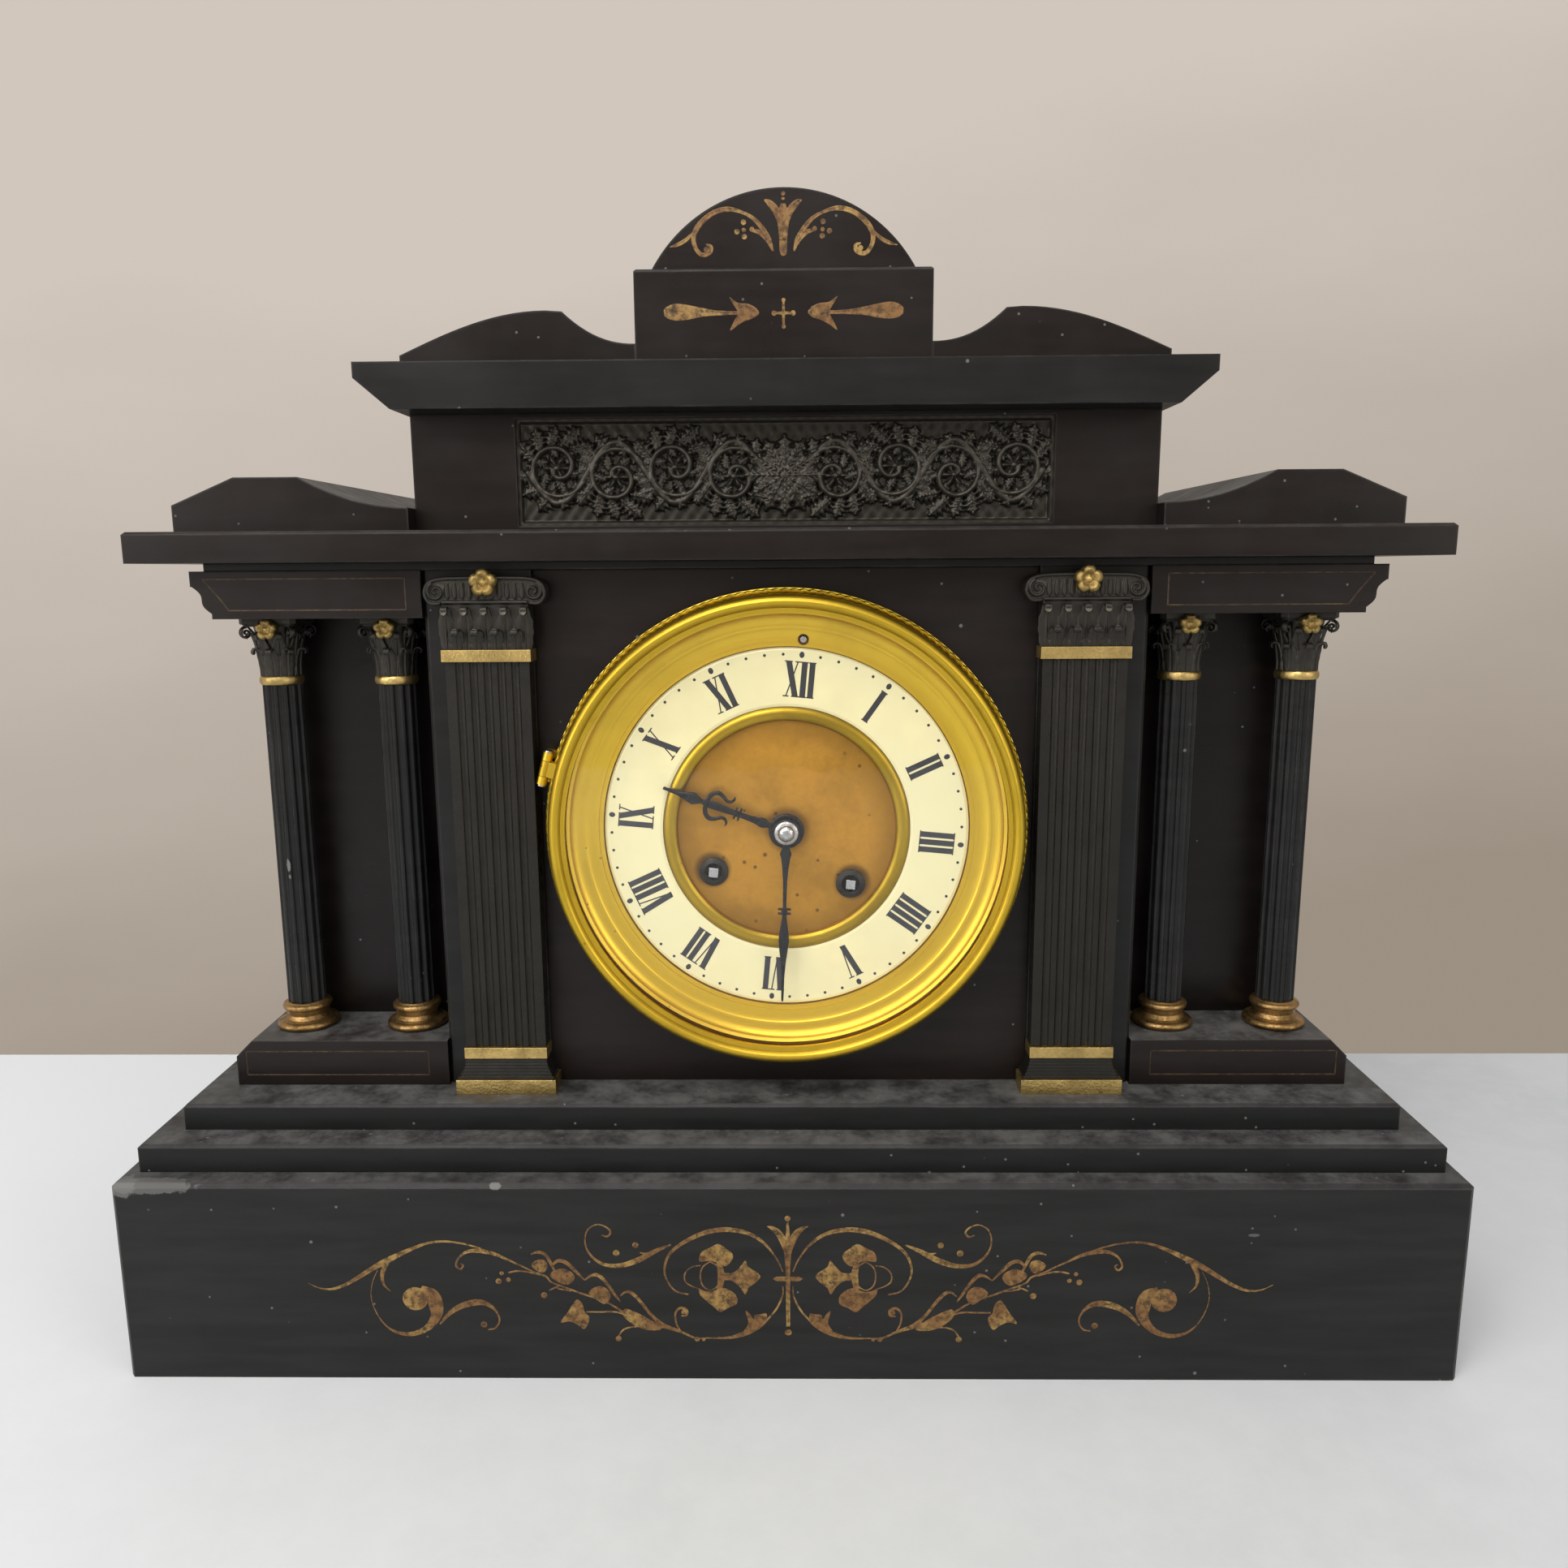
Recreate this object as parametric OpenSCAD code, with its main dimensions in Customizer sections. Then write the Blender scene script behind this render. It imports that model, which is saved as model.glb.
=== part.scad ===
// Slate mantel clock in the shape of a small temple front, with a round two-train movement.
// Millimetres, +Z up, the dial faces -Y. The origin is the centre of the base, on its underside.

/* [Base] */
// Width of the plinth
base_w = 380; // [370:1:400]
// Depth of the plinth
base_d = 150; // [148:1:170]
// Height of the plinth
plinth_h = 60; // [40:1:80]
// Thickness of the plinth's slabs
plinth_wall = 16; // [8:0.5:24]
// Height of the lower step
step1_h = 8.2; // [5:0.1:14]
// Set-back of the lower step's ends
step1_side = 5; // [2:0.1:8]
// Set-back of the lower step's front
step1_front = 7; // [2:0.1:10]
// Height of the upper step
step2_h = 7.8; // [5:0.1:14]
// Set-back of the upper step's ends from the plinth's
step2_side = 14; // [9:0.1:18]
// Set-back of the upper step's front from the plinth's
step2_front = 16.7; // [12:0.1:20]
// Light arris along the front edges of the slabs
arris = 0.8; // [0.4:0.1:1.2]

/* [Wings] */
// Height of the pedestals under the columns
ped_h = 14; // [9:0.5:20]
// Set-back of the pedestals' outer ends from the plinth's
ped_side = 24; // [20:0.5:28]
// Set-back of the pedestals' front from the plinth's
ped_front = 30.5; // [28:0.5:32]
// Bevel on the pedestals' outer top edge
ped_bevel = 5; // [2:0.5:7]
// Half width of the wing walls
wing_half = 150; // [130:1:154]
// Gap between a column's base and the wall behind it
column_gap = 0.5; // [0.3:0.1:3]
// Thickness of the slate slabs of the case
slab_t = 10; // [6:0.5:14]

/* [Columns] */
// Distance of the outer columns from the middle
column_outer_x = 149.4; // [146:0.2:151]
// Distance of the inner columns from the middle
column_inner_x = 115.2; // [112.6:0.2:120]
// Distance of the column axes behind the plinth's front
column_in = 45; // [43:0.5:46]
// Radius of the column shafts
shaft_r = 5.5; // [4:0.1:6]
// Number of flutes on a shaft
flute_count = 12; // [8:1:16]
// Radius of a column's lower torus
torus_r = 9.1; // [7.5:0.1:10]
// Height of a column's base
col_base_h = 8.2; // [6:0.1:12]
// Height of a column's neck ring
neck_h = 2.6; // [1.5:0.1:4]
// Height of a column's capital
capital_h = 17; // [14:0.5:20]
// Half width of a capital's abacus
abacus_half = 8.3; // [7.5:0.1:9]

/* [Centre block] */
// Half width of the centre block
block_half = 102; // [100:0.5:104]
// Set-back of the dial panel from the plinth's front
panel_in = 34; // [33:0.5:36]
// How far the piers stand in front of the dial panel
pier_proud = 2; // [0.5:0.5:3]
// Half width of the dial panel between the piers
panel_half = 71.3; // [71:0.1:74]
// Clear height between the upper step and the fillet course
block_h = 152.8; // [152:0.2:165]
// Height of the case back's round opening above the upper step, and of the dial's centre
dial_up = 78.2; // [77.5:0.1:79]
// Set-back of the case's back from the plinth's back
case_back_in = 12; // [10:0.5:14]

/* [Pilasters] */
// Distance of the pilasters from the middle
pilaster_x = 83.2; // [83:0.1:85]
// Width of a pilaster's shaft
pilaster_w = 23.6; // [20:0.1:23.8]
// How far a pilaster's shaft stands in front of its pier
pilaster_t = 6; // [4:0.1:6.5]
// Number of flutes on a pilaster
pilaster_flutes = 5; // [3:1:7]
// Width of a pilaster's foot
foot_w = 29.5; // [26:0.1:31]
// How far a pilaster's foot stands in front of its pier
foot_t = 8.5; // [7:0.1:9]
// Height of a pilaster's foot band
foot_h = 4.4; // [3:0.1:6]
// Height of a pilaster's moulded base above the foot band
ogee_h = 6.2; // [4:0.1:9]
// Height of the gilt bands above the base and under the capital
band_h = 3.3; // [2:0.1:5]
// Height of a pilaster's capital
pil_capital_h = 22; // [16:0.5:26]
// Half width of a pilaster's capital across the volutes
volute_half = 17; // [14:0.1:18]

/* [Slabs over the columns] */
// Height of the entablature blocks
entab_h = 13.3; // [9:0.1:18]
// Half width over the entablature blocks
entab_half = 167; // [160:0.5:172]
// How far the blocks' ends draw in at the bottom
entab_ogee = 5.5; // [3:0.1:8]
// Thickness of the fillet course
fillet_h = 2.2; // [1:0.1:4]
// Half width of the fillet course
fillet_half = 163; // [155:0.5:170]
// Thickness of the main slab
slab_h = 8.5; // [5:0.1:14]
// Half width of the main slab
slab_half = 180.6; // [175:0.2:188]
// Set-back of the main slab's front
slab_front = 22.3; // [20:0.1:24]

/* [Attic] */
// Half width of the attic
attic_half = 105.5; // [100:0.5:108]
// Height of the attic
attic_h = 32.5; // [26:0.5:44]
// Set-back of the attic's front
attic_front = 41; // [38:0.5:44]
// Half width of the frieze panel
frieze_half = 76; // [60:0.5:90]
// Margin of slate above and below the frieze panel
frieze_margin = 1.5; // [1:0.1:4]
// Thickness of the frieze panel
frieze_t = 3; // [2:0.1:5]
// Depth of the panel's face behind the attic's
frieze_sunk = 0.8; // [0.2:0.1:2]
// Half width of the upper cornice
cornice_half = 117; // [114:0.5:122]
// Thickness of the cornice's fascia
cornice_h = 4.2; // [3:0.1:8]
// Height of the cornice's bevel
bevel_h = 8.2; // [5:0.1:12]
// Run of the cornice's bevel
bevel_run = 7; // [4:0.1:9]

/* [Scrolls and crest] */
// Half width over the lower scrolls
scroll_half = 172; // [168:0.5:176]
// Height of a lower scroll
scroll_h = 15.1; // [10:0.1:22]
// Set-back of the lower scrolls' fronts
scroll_front = 34; // [28:0.5:40]
// Half width over the upper scrolls
upper_half = 106.5; // [100:0.5:112]
// Height of an upper scroll
upper_h = 14.4; // [10:0.1:20]
// Set-back of the fronts of the upper scrolls and top block
upper_front = 38; // [34:0.5:42]
// Half width of the top block
top_half = 41; // [36:0.5:48]
// Height of the top block
top_h = 24.9; // [18:0.1:34]
// Half width of the arched crest
crest_half = 36.8; // [30:0.2:40]
// Rise of the arched crest
crest_h = 21.6; // [12:0.1:28]
// Set-back of the crest's front
crest_front = 42; // [38:0.5:46]

/* [Dial] */
// Turn of the whole movement in the case, clockwise from the front
dial_twist = 5.3; // [-8:0.1:8]
// Outer radius of the bezel
bezel_r = 69.2; // [68.6:0.1:69.4]
// Depth of the bezel
bezel_t = 12.4; // [11:0.1:13]
// Radius of the glass
glass_r = 64; // [62.5:0.1:64.5]
// Rise of the domed glass
glass_rise = 2.4; // [1:0.1:3]
// Outer radius of the chapter ring
chapter_r = 52.6; // [50:0.1:53.2]
// Inner radius of the chapter ring
chapter_in_r = 35.8; // [33:0.1:38]
// Inner radius of the half-round brass ring inside the chapter ring
inner_ring_r = 31.6; // [29:0.1:32.4]
// Angle of the bezel hinge above nine o'clock, from level
hinge_angle = 15.4; // [5:0.1:20]
// Minutes past the hour shown by the hands
shown_minute = 29.4; // [0:0.1:59]
// Hour shown by the hands
shown_hour = 9; // [0:1:11]
// Length of the minute hand from its centre
minute_len = 50.5; // [44:0.1:52]
// Length of the hour hand from its centre
hour_len = 37.5; // [30:0.1:42]
// Thickness of a hand
hand_t = 0.8; // [0.5:0.1:1]

/* [Movement] */
// Radius of the movement's plates
plate_r = 46; // [45:0.5:48]
// Gap between the plates
plate_gap = 30; // [30:0.5:36]
// Distance of the winding arbors from the centre
arbor_out = 24.8; // [24.4:0.1:25.4]
// Angle of the winding arbors from straight down
arbor_angle = 53.9; // [52:0.1:60]
// Radius of the spring barrels
barrel_r = 18; // [15:0.1:18.4]
// Radius of the back opening in the case
back_hole_r = 60; // [60:0.5:64]
// Radius of the rear door
door_r = 56; // [54:0.5:57]
// Radius of the bell
bell_r = 28; // [24:0.5:30]
// Length of the pendulum from its pivot to the bob's centre
pendulum_len = 82; // [70:1:84]
// Radius of the pendulum bob
bob_r = 15; // [10:0.5:16]
// Radial play of a shaft in its hole
play = 0.05; // [0.03:0.01:0.08]

/* [Hidden] */
$fn = 64;

// y of a plane that lies `inset` behind the plinth's front face
function fy(inset) = -base_d/2 + inset;

// heights of the courses
z_step1 = plinth_h;
z_step2 = z_step1 + step1_h;
z_floor = z_step2 + step2_h;
z_col = z_floor + ped_h;
z_fillet = z_floor + block_h;
z_entab = z_fillet - entab_h;
z_slab = z_fillet + fillet_h;
z_attic = z_slab + slab_h;
z_bevel = z_attic + attic_h;
z_fascia = z_bevel + bevel_h;
z_upper = z_fascia + cornice_h;
z_crest = z_upper + top_h;

// depths of the case
case_back_y = base_d/2 - case_back_in;
back_in_y = case_back_y - slab_t;
panel_y = fy(panel_in);
pier_y = panel_y - pier_proud;
col_y = fy(column_in);
wing_y = col_y + torus_r + column_gap;
slab_back_y = case_back_y + 3;
step_back_in = 4;

module slate() { color([0.10, 0.10, 0.10]) children(); }
module gilt() { color([0.72, 0.55, 0.24]) children(); }
module bronze() { color([0.16, 0.15, 0.13]) children(); }
module brass() { color([0.80, 0.62, 0.25]) children(); }
module steel() { color([0.55, 0.56, 0.58]) children(); }

// box from corner to corner
module block(x0, x1, y0, y1, z0, z1) {
    translate([x0, y0, z0]) cube([x1 - x0, y1 - y0, z1 - z0]);
}

module both_sides() {
    children();
    mirror([1, 0, 0]) children();
}

// slab with a small bevel along its front and end top edges
module arris_slab(half, y0, y1, z0, h, cut = arris) {
    difference() {
        block(-half, half, y0, y1, z0, z0 + h);
        translate([0, y0, z0 + h]) rotate([45, 0, 0])
            cube([2*half + 2, cut*sqrt(2), cut*sqrt(2)], center = true);
        for (s = [-1, 1]) translate([s*half, (y0 + y1)/2, z0 + h]) rotate([0, 45, 0])
            cube([cut*sqrt(2), y1 - y0 + 2, cut*sqrt(2)], center = true);
    }
}

// outline in x and z carried back from y0 to y1
module carry_back(y0, y1) {
    translate([0, y1, 0]) rotate([90, 0, 0]) linear_extrude(y1 - y0) children();
}

module plinth_front() {
    slate() difference() {
        arris_slab(base_w/2, fy(0), fy(plinth_wall), 0, plinth_h, 1.2);
        for (s = [-1, 1]) translate([s*base_w/2, fy(0), plinth_h/2]) rotate([0, 0, 45])
            cube([1.7, 1.7, plinth_h + 2], center = true);
    }
}

module plinth_back() {
    slate() block(-base_w/2, base_w/2, base_d/2 - plinth_wall, base_d/2, 0, plinth_h);
}

module plinth_ends() {
    slate() both_sides()
        block(base_w/2 - plinth_wall, base_w/2, fy(plinth_wall), base_d/2 - plinth_wall, 0, plinth_h);
}

module lower_step() {
    slate() arris_slab(base_w/2 - step1_side, fy(step1_front), base_d/2 - step_back_in, z_step1, step1_h);
}

module upper_step() {
    slate() arris_slab(base_w/2 - step2_side, fy(step2_front), base_d/2 - 2*step_back_in, z_step2, step2_h);
}

module pedestals() {
    outer = base_w/2 - ped_side;
    slate() both_sides() carry_back(fy(ped_front), case_back_y) polygon([
        [block_half, z_floor], [outer, z_floor], [outer, z_col - ped_bevel],
        [outer - ped_bevel, z_col], [block_half, z_col]]);
}

module dial_panel() {
    slate() difference() {
        block(-panel_half, panel_half, panel_y, panel_y + panel_t, z_floor, z_fillet);
        at_dial() rod(panel_hole_r, panel_y - 1, panel_y + panel_t + 1);
    }
}

// front strip and side slab of each pier
module piers() {
    slate() both_sides() {
        difference() {
            union() {
                block(panel_half, block_half, pier_y, panel_y + panel_t, z_floor, z_fillet);
                block(block_half - slab_t, block_half, panel_y + slab_t, back_in_y, z_floor, z_fillet);
            }
            translate([block_half, pier_y, z_floor + block_h/2]) rotate([0, 0, 45])
                cube([1.4, 1.4, block_h + 2], center = true);
        }
    }
}

module case_back() {
    slate() difference() {
        block(-wing_half, wing_half, back_in_y, case_back_y, z_floor + ped_h, z_fillet);
        at_dial() rod(back_hole_r, back_in_y - 1, case_back_y + 1);
    }
    slate() block(-block_half, block_half, back_in_y, case_back_y, z_floor, z_floor + ped_h);
}

// wall behind each pair of columns, and the return along the case's end
module wing_walls() {
    slate() both_sides() {
        block(block_half, wing_half, wing_y, wing_y + slab_t, z_col, z_entab);
        block(wing_half - slab_t, wing_half, wing_y + slab_t, back_in_y, z_col, z_entab);
    }
}

// block over each pair of columns, its outer end a fascia over an ogee
module entablatures() {
    fascia = entab_h*0.32;
    drop = entab_h - fascia - 1.5;
    ogee = [for (i = [0:12]) [
        entab_half - 0.4 - (entab_ogee - 0.4)*(i/12 + 0.16*sin(360*i/12)),
        z_fillet - fascia - drop*i/12]];
    slate() both_sides() difference() {
        carry_back(fy(ped_front), back_in_y) polygon(concat(
            [[block_half, z_entab], [block_half, z_fillet], [entab_half, z_fillet],
             [entab_half, z_fillet - fascia]], ogee, [[entab_half - entab_ogee, z_entab]]));
        block(block_half - 1, wing_half - slab_t, wing_y + slab_t, back_in_y + 1, z_entab - 1, z_fillet - 3);
    }
}

module fillet_course() {
    slate() block(-fillet_half, fillet_half, pier_y - 1, case_back_y, z_fillet, z_slab);
}

module main_slab() {
    slate() arris_slab(slab_half, fy(slab_front), slab_back_y, z_slab, slab_h);
}

// end block, sloped rise, flat crown and a hollow sweep down to the attic
module lower_scrolls() {
    low = 0.5*scroll_h;
    crown_x = scroll_half - 18;
    drop_x = scroll_half - 36;
    run = drop_x - attic_half;
    slate() both_sides() carry_back(fy(scroll_front), case_back_y) polygon(concat(
        [[attic_half, z_attic], [scroll_half, z_attic], [scroll_half, z_attic + low],
         [crown_x, z_attic + scroll_h]],
        [for (i = [0:14]) [drop_x - run*i/14, z_attic + low - 1 + (scroll_h - low + 1)*pow(1 - i/14, 2)]]));
}

module attic() {
    slate() difference() {
        block(-attic_half, attic_half, fy(attic_front), case_back_y - 4, z_attic, z_bevel);
        block(-frieze_half, frieze_half, fy(attic_front) - 1, fy(attic_front) + frieze_sunk + frieze_t,
            z_attic + frieze_margin, z_bevel - frieze_margin);
    }
}

// cast panel of rising and falling leaf scrolls between plain edges
module frieze_panel() {
    y0 = fy(attic_front) + frieze_sunk;
    edge = 1.2;
    height = attic_h - 2*frieze_margin;
    pitch = 2*(frieze_half - 2)/9;
    bronze() {
        block(-frieze_half, frieze_half, y0, y0 + frieze_t, z_attic + frieze_margin,
            z_bevel - frieze_margin);
        carry_back(y0 - 0.6, y0) translate([0, z_attic + attic_h/2]) {
            for (s = [-1, 1]) translate([-frieze_half, s*(height/2 - edge/2) - edge/2])
                square([2*frieze_half, edge]);
            for (i = [-4:4]) translate([i*pitch, 0]) rotate(i % 2 == 0 ? 0 : 180) leaf_scroll(pitch);
        }
    }
}

// one turn of the running scroll: a ring, a round flower and three leaves
module leaf_scroll(pitch) {
    r = pitch*0.40;
    difference() { circle(r, $fn = 24); circle(r - 1.1, $fn = 24); }
    circle(r*0.34, $fn = 16);
    for (a = [30, 90, 150]) rotate(a) translate([r + 1.6, 0])
        polygon([[-2.4, 0], [-1, -1.2], [1.2, -1.1], [2.6, 0], [1.2, 1.1], [-1, 1.2]]);
}

module upper_cornice() {
    y_face = fy(attic_front) - (cornice_half - attic_half);
    slate() {
        block(-cornice_half, cornice_half, y_face, slab_back_y, z_fascia, z_upper);
        bevel_course(cornice_half, y_face, slab_back_y);
    }
}

// wedge under the fascia, cut back at the front and both ends
module bevel_course(half, y0, y1) {
    slope = atan2(bevel_h, bevel_run);
    big = 4*bevel_h;
    difference() {
        block(-half, half, y0, y1, z_bevel, z_fascia);
        translate([0, y0, z_fascia]) rotate([-slope, 0, 0]) translate([-half - 1, -big, -big])
            cube([2*half + 2, big, 2*big]);
        both_sides() translate([half, y0 - 1, z_fascia]) rotate([0, slope, 0]) translate([0, 0, -big])
            cube([big, y1 - y0 + 2, 2*big]);
    }
}

// long convex rise to a crown, and a hollow sweep down to the top block
module upper_scrolls() {
    tip = 0.2*upper_h;
    crown = upper_half - 41;
    lip = crown - 4.5;
    run = lip - top_half;
    slate() both_sides() carry_back(fy(upper_front), case_back_y - 4) polygon(concat(
        [[top_half, z_upper], [upper_half, z_upper]],
        [for (i = [0:14]) [upper_half - 41*i/14, z_upper + tip + (upper_h - tip)*sin(90*i/14)]],
        [for (i = [0:12]) [lip - run*i/12, z_upper + 0.38*upper_h + 0.6*upper_h*pow(1 - i/12, 2.2)]]));
}

module top_block() {
    slate() arris_slab(top_half, fy(upper_front), case_back_y - 4, z_upper, top_h, 0.6);
}

module arched_crest() {
    big_r = (crest_half*crest_half + crest_h*crest_h)/(2*crest_h);
    slate() carry_back(fy(crest_front), case_back_y - 8) intersection() {
        translate([0, z_crest + crest_h - big_r]) circle(big_r, $fn = 128);
        translate([-crest_half, z_crest]) square([2*crest_half, crest_h + 1]);
    }
}

// children at each of the four column axes, standing on z
module at_columns(z) {
    for (x = [-column_outer_x, -column_inner_x, column_inner_x, column_outer_x])
        translate([x, col_y, z]) children();
}

z_shaft = z_col + col_base_h;
z_neck = z_entab - capital_h - neck_h;

module column_shafts() {
    slate() at_columns(z_shaft) linear_extrude(z_neck - z_shaft) difference() {
        circle(shaft_r);
        for (i = [0:flute_count - 1]) rotate(360*(i + 0.5)/flute_count)
            translate([shaft_r + 0.35, 0]) circle(1.05, $fn = 16);
    }
}

// two tori with a hollow between them
module column_bases() {
    foot = 0.30*col_base_h;
    top_r = shaft_r + 1.7;
    gilt() at_columns(z_col) rotate_extrude() polygon(concat(
        [[0, 0]],
        [for (a = [-90:15:90]) [torus_r - foot*0.6 + foot*0.6*cos(a), foot/2 + foot/2*sin(a)]],
        [[shaft_r + 1.2, foot + 0.5], [shaft_r + 0.6, 0.5*col_base_h], [shaft_r + 0.9, 0.68*col_base_h]],
        [for (a = [-90:18:90]) [top_r - 0.8 + 0.8*cos(a), 0.82*col_base_h + 0.12*col_base_h*sin(a)]],
        [[shaft_r + 0.2, col_base_h], [0, col_base_h]]));
}

// bell with two rows of curling leaves, corner volutes and a hollow-sided abacus
module column_capitals() {
    bell_h = capital_h - 2.6;
    slate() at_columns(z_neck + neck_h) {
        rotate_extrude() polygon([[0, 0], [shaft_r, 0], [shaft_r + 0.2, bell_h*0.4],
            [shaft_r + 1.4, bell_h], [0, bell_h]]);
        for (i = [0:7]) rotate(45*i + 6) leaf(36, shaft_r - 0.4, 0.48*bell_h, 1.5);
        for (i = [0:7]) rotate(45*i + 28) leaf(34, shaft_r - 0.2, 0.78*bell_h, 1.9);
        for (i = [0:3]) rotate(45 + 90*i) translate([abacus_half - 0.2, 0, bell_h - 1.9])
            rotate([90, 0, 0]) cylinder(r = 1.9, h = 2.2, center = true, $fn = 24);
        translate([0, 0, bell_h]) linear_extrude(capital_h - bell_h) difference() {
            square(2*abacus_half, center = true);
            for (a = [0:90:270]) rotate(a) translate([abacus_half + 15.2, 0]) circle(16.2);
        }
    }
}

// leaf of one capital: a strip of a turned profile that curls out at its tip
module leaf(width, r, h, curl) {
    rotate_extrude(angle = width) polygon([[r - 1, 0], [r + 0.7, 0], [r + 0.8, 0.6*h], [r + curl, 0.88*h],
        [r + curl + 0.3, h], [r + curl - 0.5, h + 0.4], [r - 1, h]]);
}

// rings under the column capitals, and the bands of the two pilasters
module gilt_bands() {
    gilt() {
        at_columns(z_neck) rotate_extrude() polygon(concat([[0, 0]],
            [for (a = [-90:15:90]) [shaft_r + 0.7*cos(a), neck_h/2 + neck_h/2*sin(a)]], [[0, neck_h]]));
        both_sides() {
            pilaster_block(foot_w, foot_t, z_floor, foot_h);
            pilaster_block(pilaster_w + 0.8, pilaster_t + 1, z_band, band_h);
            pilaster_block(pilaster_w + 1.4, pilaster_t + 1.2, z_pil_neck, band_h);
        }
    }
}

z_band = z_floor + foot_h + ogee_h;
z_pil_capital = z_fillet - pil_capital_h;
z_pil_neck = z_pil_capital - band_h;

// block in front of a pier, centred on the pilaster
module pilaster_block(w, t, z0, h) {
    block(pilaster_x - w/2, pilaster_x + w/2, pier_y - t, pier_y, z0, z0 + h);
}

module pilaster_shafts() {
    z0 = z_band + band_h;
    pitch = (pilaster_w - 4)/pilaster_flutes;
    bronze() both_sides() translate([0, 0, z0]) linear_extrude(z_pil_neck - z0) difference() {
        translate([pilaster_x - pilaster_w/2, pier_y - pilaster_t]) square([pilaster_w, pilaster_t]);
        for (i = [0:pilaster_flutes - 1])
            translate([pilaster_x + (i - (pilaster_flutes - 1)/2)*pitch, pier_y - pilaster_t - 0.5])
                circle(1.3, $fn = 24);
    }
}

// moulded foot: its front and its ends curve in from the foot band to the shaft
module pilaster_bases() {
    steps = 7;
    bronze() both_sides() for (i = [0:steps - 1]) {
        t = (i + 0.5)/steps;
        out = pow(1 - t, 2);
        pilaster_block(pilaster_w + 0.4 + (foot_w - pilaster_w - 1.2)*out,
            pilaster_t + 0.6 + (foot_t - pilaster_t - 1.2)*out, z_floor + foot_h, ogee_h*(i + 1)/steps);
    }
}

// block with rows of leaf tips, end volutes and a thin abacus
module pilaster_capitals() {
    h = pil_capital_h;
    tips = 5;
    pitch = pilaster_w/tips;
    front = pier_y - pilaster_t;
    bronze() both_sides() {
        pilaster_block(pilaster_w, pilaster_t, z_pil_capital, h - 2.4);
        pilaster_block(2*volute_half - 5, pilaster_t + 2, z_fillet - 2.4, 2.4);
        for (row = [0:2]) for (i = [0:tips - 1 - row % 2])
            translate([pilaster_x + (i - (tips - 1 - row % 2)/2)*pitch, front, z_pil_capital + 2.6 + row*4.4])
                leaf_tip();
        for (s = [-1, 1]) {
            translate([pilaster_x + s*(volute_half - 3.6), pier_y, z_fillet - 6.1]) rotate([90, 0, 0])
                cylinder(r = 3.6, h = pilaster_t + 1.2, $fn = 32);
            translate([pilaster_x + s*(volute_half - 3.6), pier_y, z_fillet - 6.1]) rotate([90, 0, 0])
                cylinder(r = 1.3, h = pilaster_t + 2, $fn = 24);
        }
    }
}

module leaf_tip() {
    rotate([90, 0, 0]) cylinder(r = 1.7, h = 1.3, $fn = 20);
    translate([-1.2, 0, -2.6]) rotate([90, 0, 0]) cube([2.4, 2.6, 0.7]);
}

// five-petalled flowers on the abaci of the columns and pilasters
module capital_rosettes() {
    gilt() {
        for (x = [-column_outer_x, -column_inner_x, column_inner_x, column_outer_x])
            translate([x, col_y - abacus_half + 0.7, z_entab - 3.2]) rosette(2.5, 1.7);
        both_sides() translate([pilaster_x, pier_y - pilaster_t - 2, z_fillet - 4.2]) rosette(4, 2);
    }
}

module rosette(r, t) {
    rotate([90, 0, 0]) linear_extrude(t) for (a = [90:72:378])
        translate([0.55*r*cos(a), 0.55*r*sin(a)]) circle(0.48*r, $fn = 24);
    rotate([90, 0, 0]) cylinder(r = 0.34*r, h = t + 0.5, $fn = 24);
}

// the dial and the movement: their own frame has its origin on the dial's axis, turned by dial_twist
dial_z = z_floor + dial_up;
module at_dial() { translate([0, 0, dial_z]) rotate([0, dial_twist, 0]) children(); }

// turned piece: the outline's x is the radius and its y is the depth
module lathe() { rotate([-90, 0, 0]) rotate_extrude($fn = 128) children(); }

// round bar or hole along y at x, z
module rod(r, y0, y1, x = 0, z = 0) {
    translate([x, y0, z]) rotate([-90, 0, 0]) cylinder(r = r, h = y1 - y0);
}

// flat shape in x and z between two depths
module plate(y0, y1) {
    translate([0, y1, 0]) rotate([90, 0, 0]) linear_extrude(y1 - y0) children();
}

// the dial ring, its tube through the panel and its straps
panel_t = slab_t + 2;
ring_tube_r = 59.6;
ring_tube_t = 2;
panel_hole_r = ring_tube_r + 0.4;
ring_front_y = panel_y - 1.4;
slip_r = 63;
slip_y = panel_y - 7.6;
strap_w = 8;
strap_t = 1.6;

// the dial's layers
dial_y = panel_y - 3.2;
chapter_t = 1.2;
plate_y = dial_y + chapter_t;
dial_plate_t = 1;
dial_plate_r = ring_tube_r - ring_tube_t - 0.3;
regulator_up = 55;
regulator_r = 0.9;
collet_r = 3.6;
collet_in_r = 2.3;

// the bezel and its hinge
bezel_back_y = panel_y - 1.8;
bezel_front_y = bezel_back_y - bezel_t;
bezel_in_r = glass_r + 1.2;
lip_r = glass_r - 1.4;
glass_t = 1.2;
glass_y = bezel_front_y + 2.8;
hinge_r = bezel_r + 1.9;
hinge_y = panel_y - 6.5;
knuckle_r = 1.5;
knuckle_len = 4.4;
knuckle_gap = 0.15;
side_knuckle = 2.4;
pin_r = 0.8;
pin_len = knuckle_len + 2*knuckle_gap + 2*side_knuckle;

// frame at the bezel hinge: x points out along the radius, y to the front, z along the pin
module at_hinge() {
    translate([0, 0, dial_z]) rotate([0, hinge_angle, 0]) rotate([0, 0, 180])
        translate([hinge_r, -hinge_y, 0]) children();
}

module pin_hole(len) {
    cylinder(r = pin_r + play, h = len, center = true, $fn = 32);
}

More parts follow.
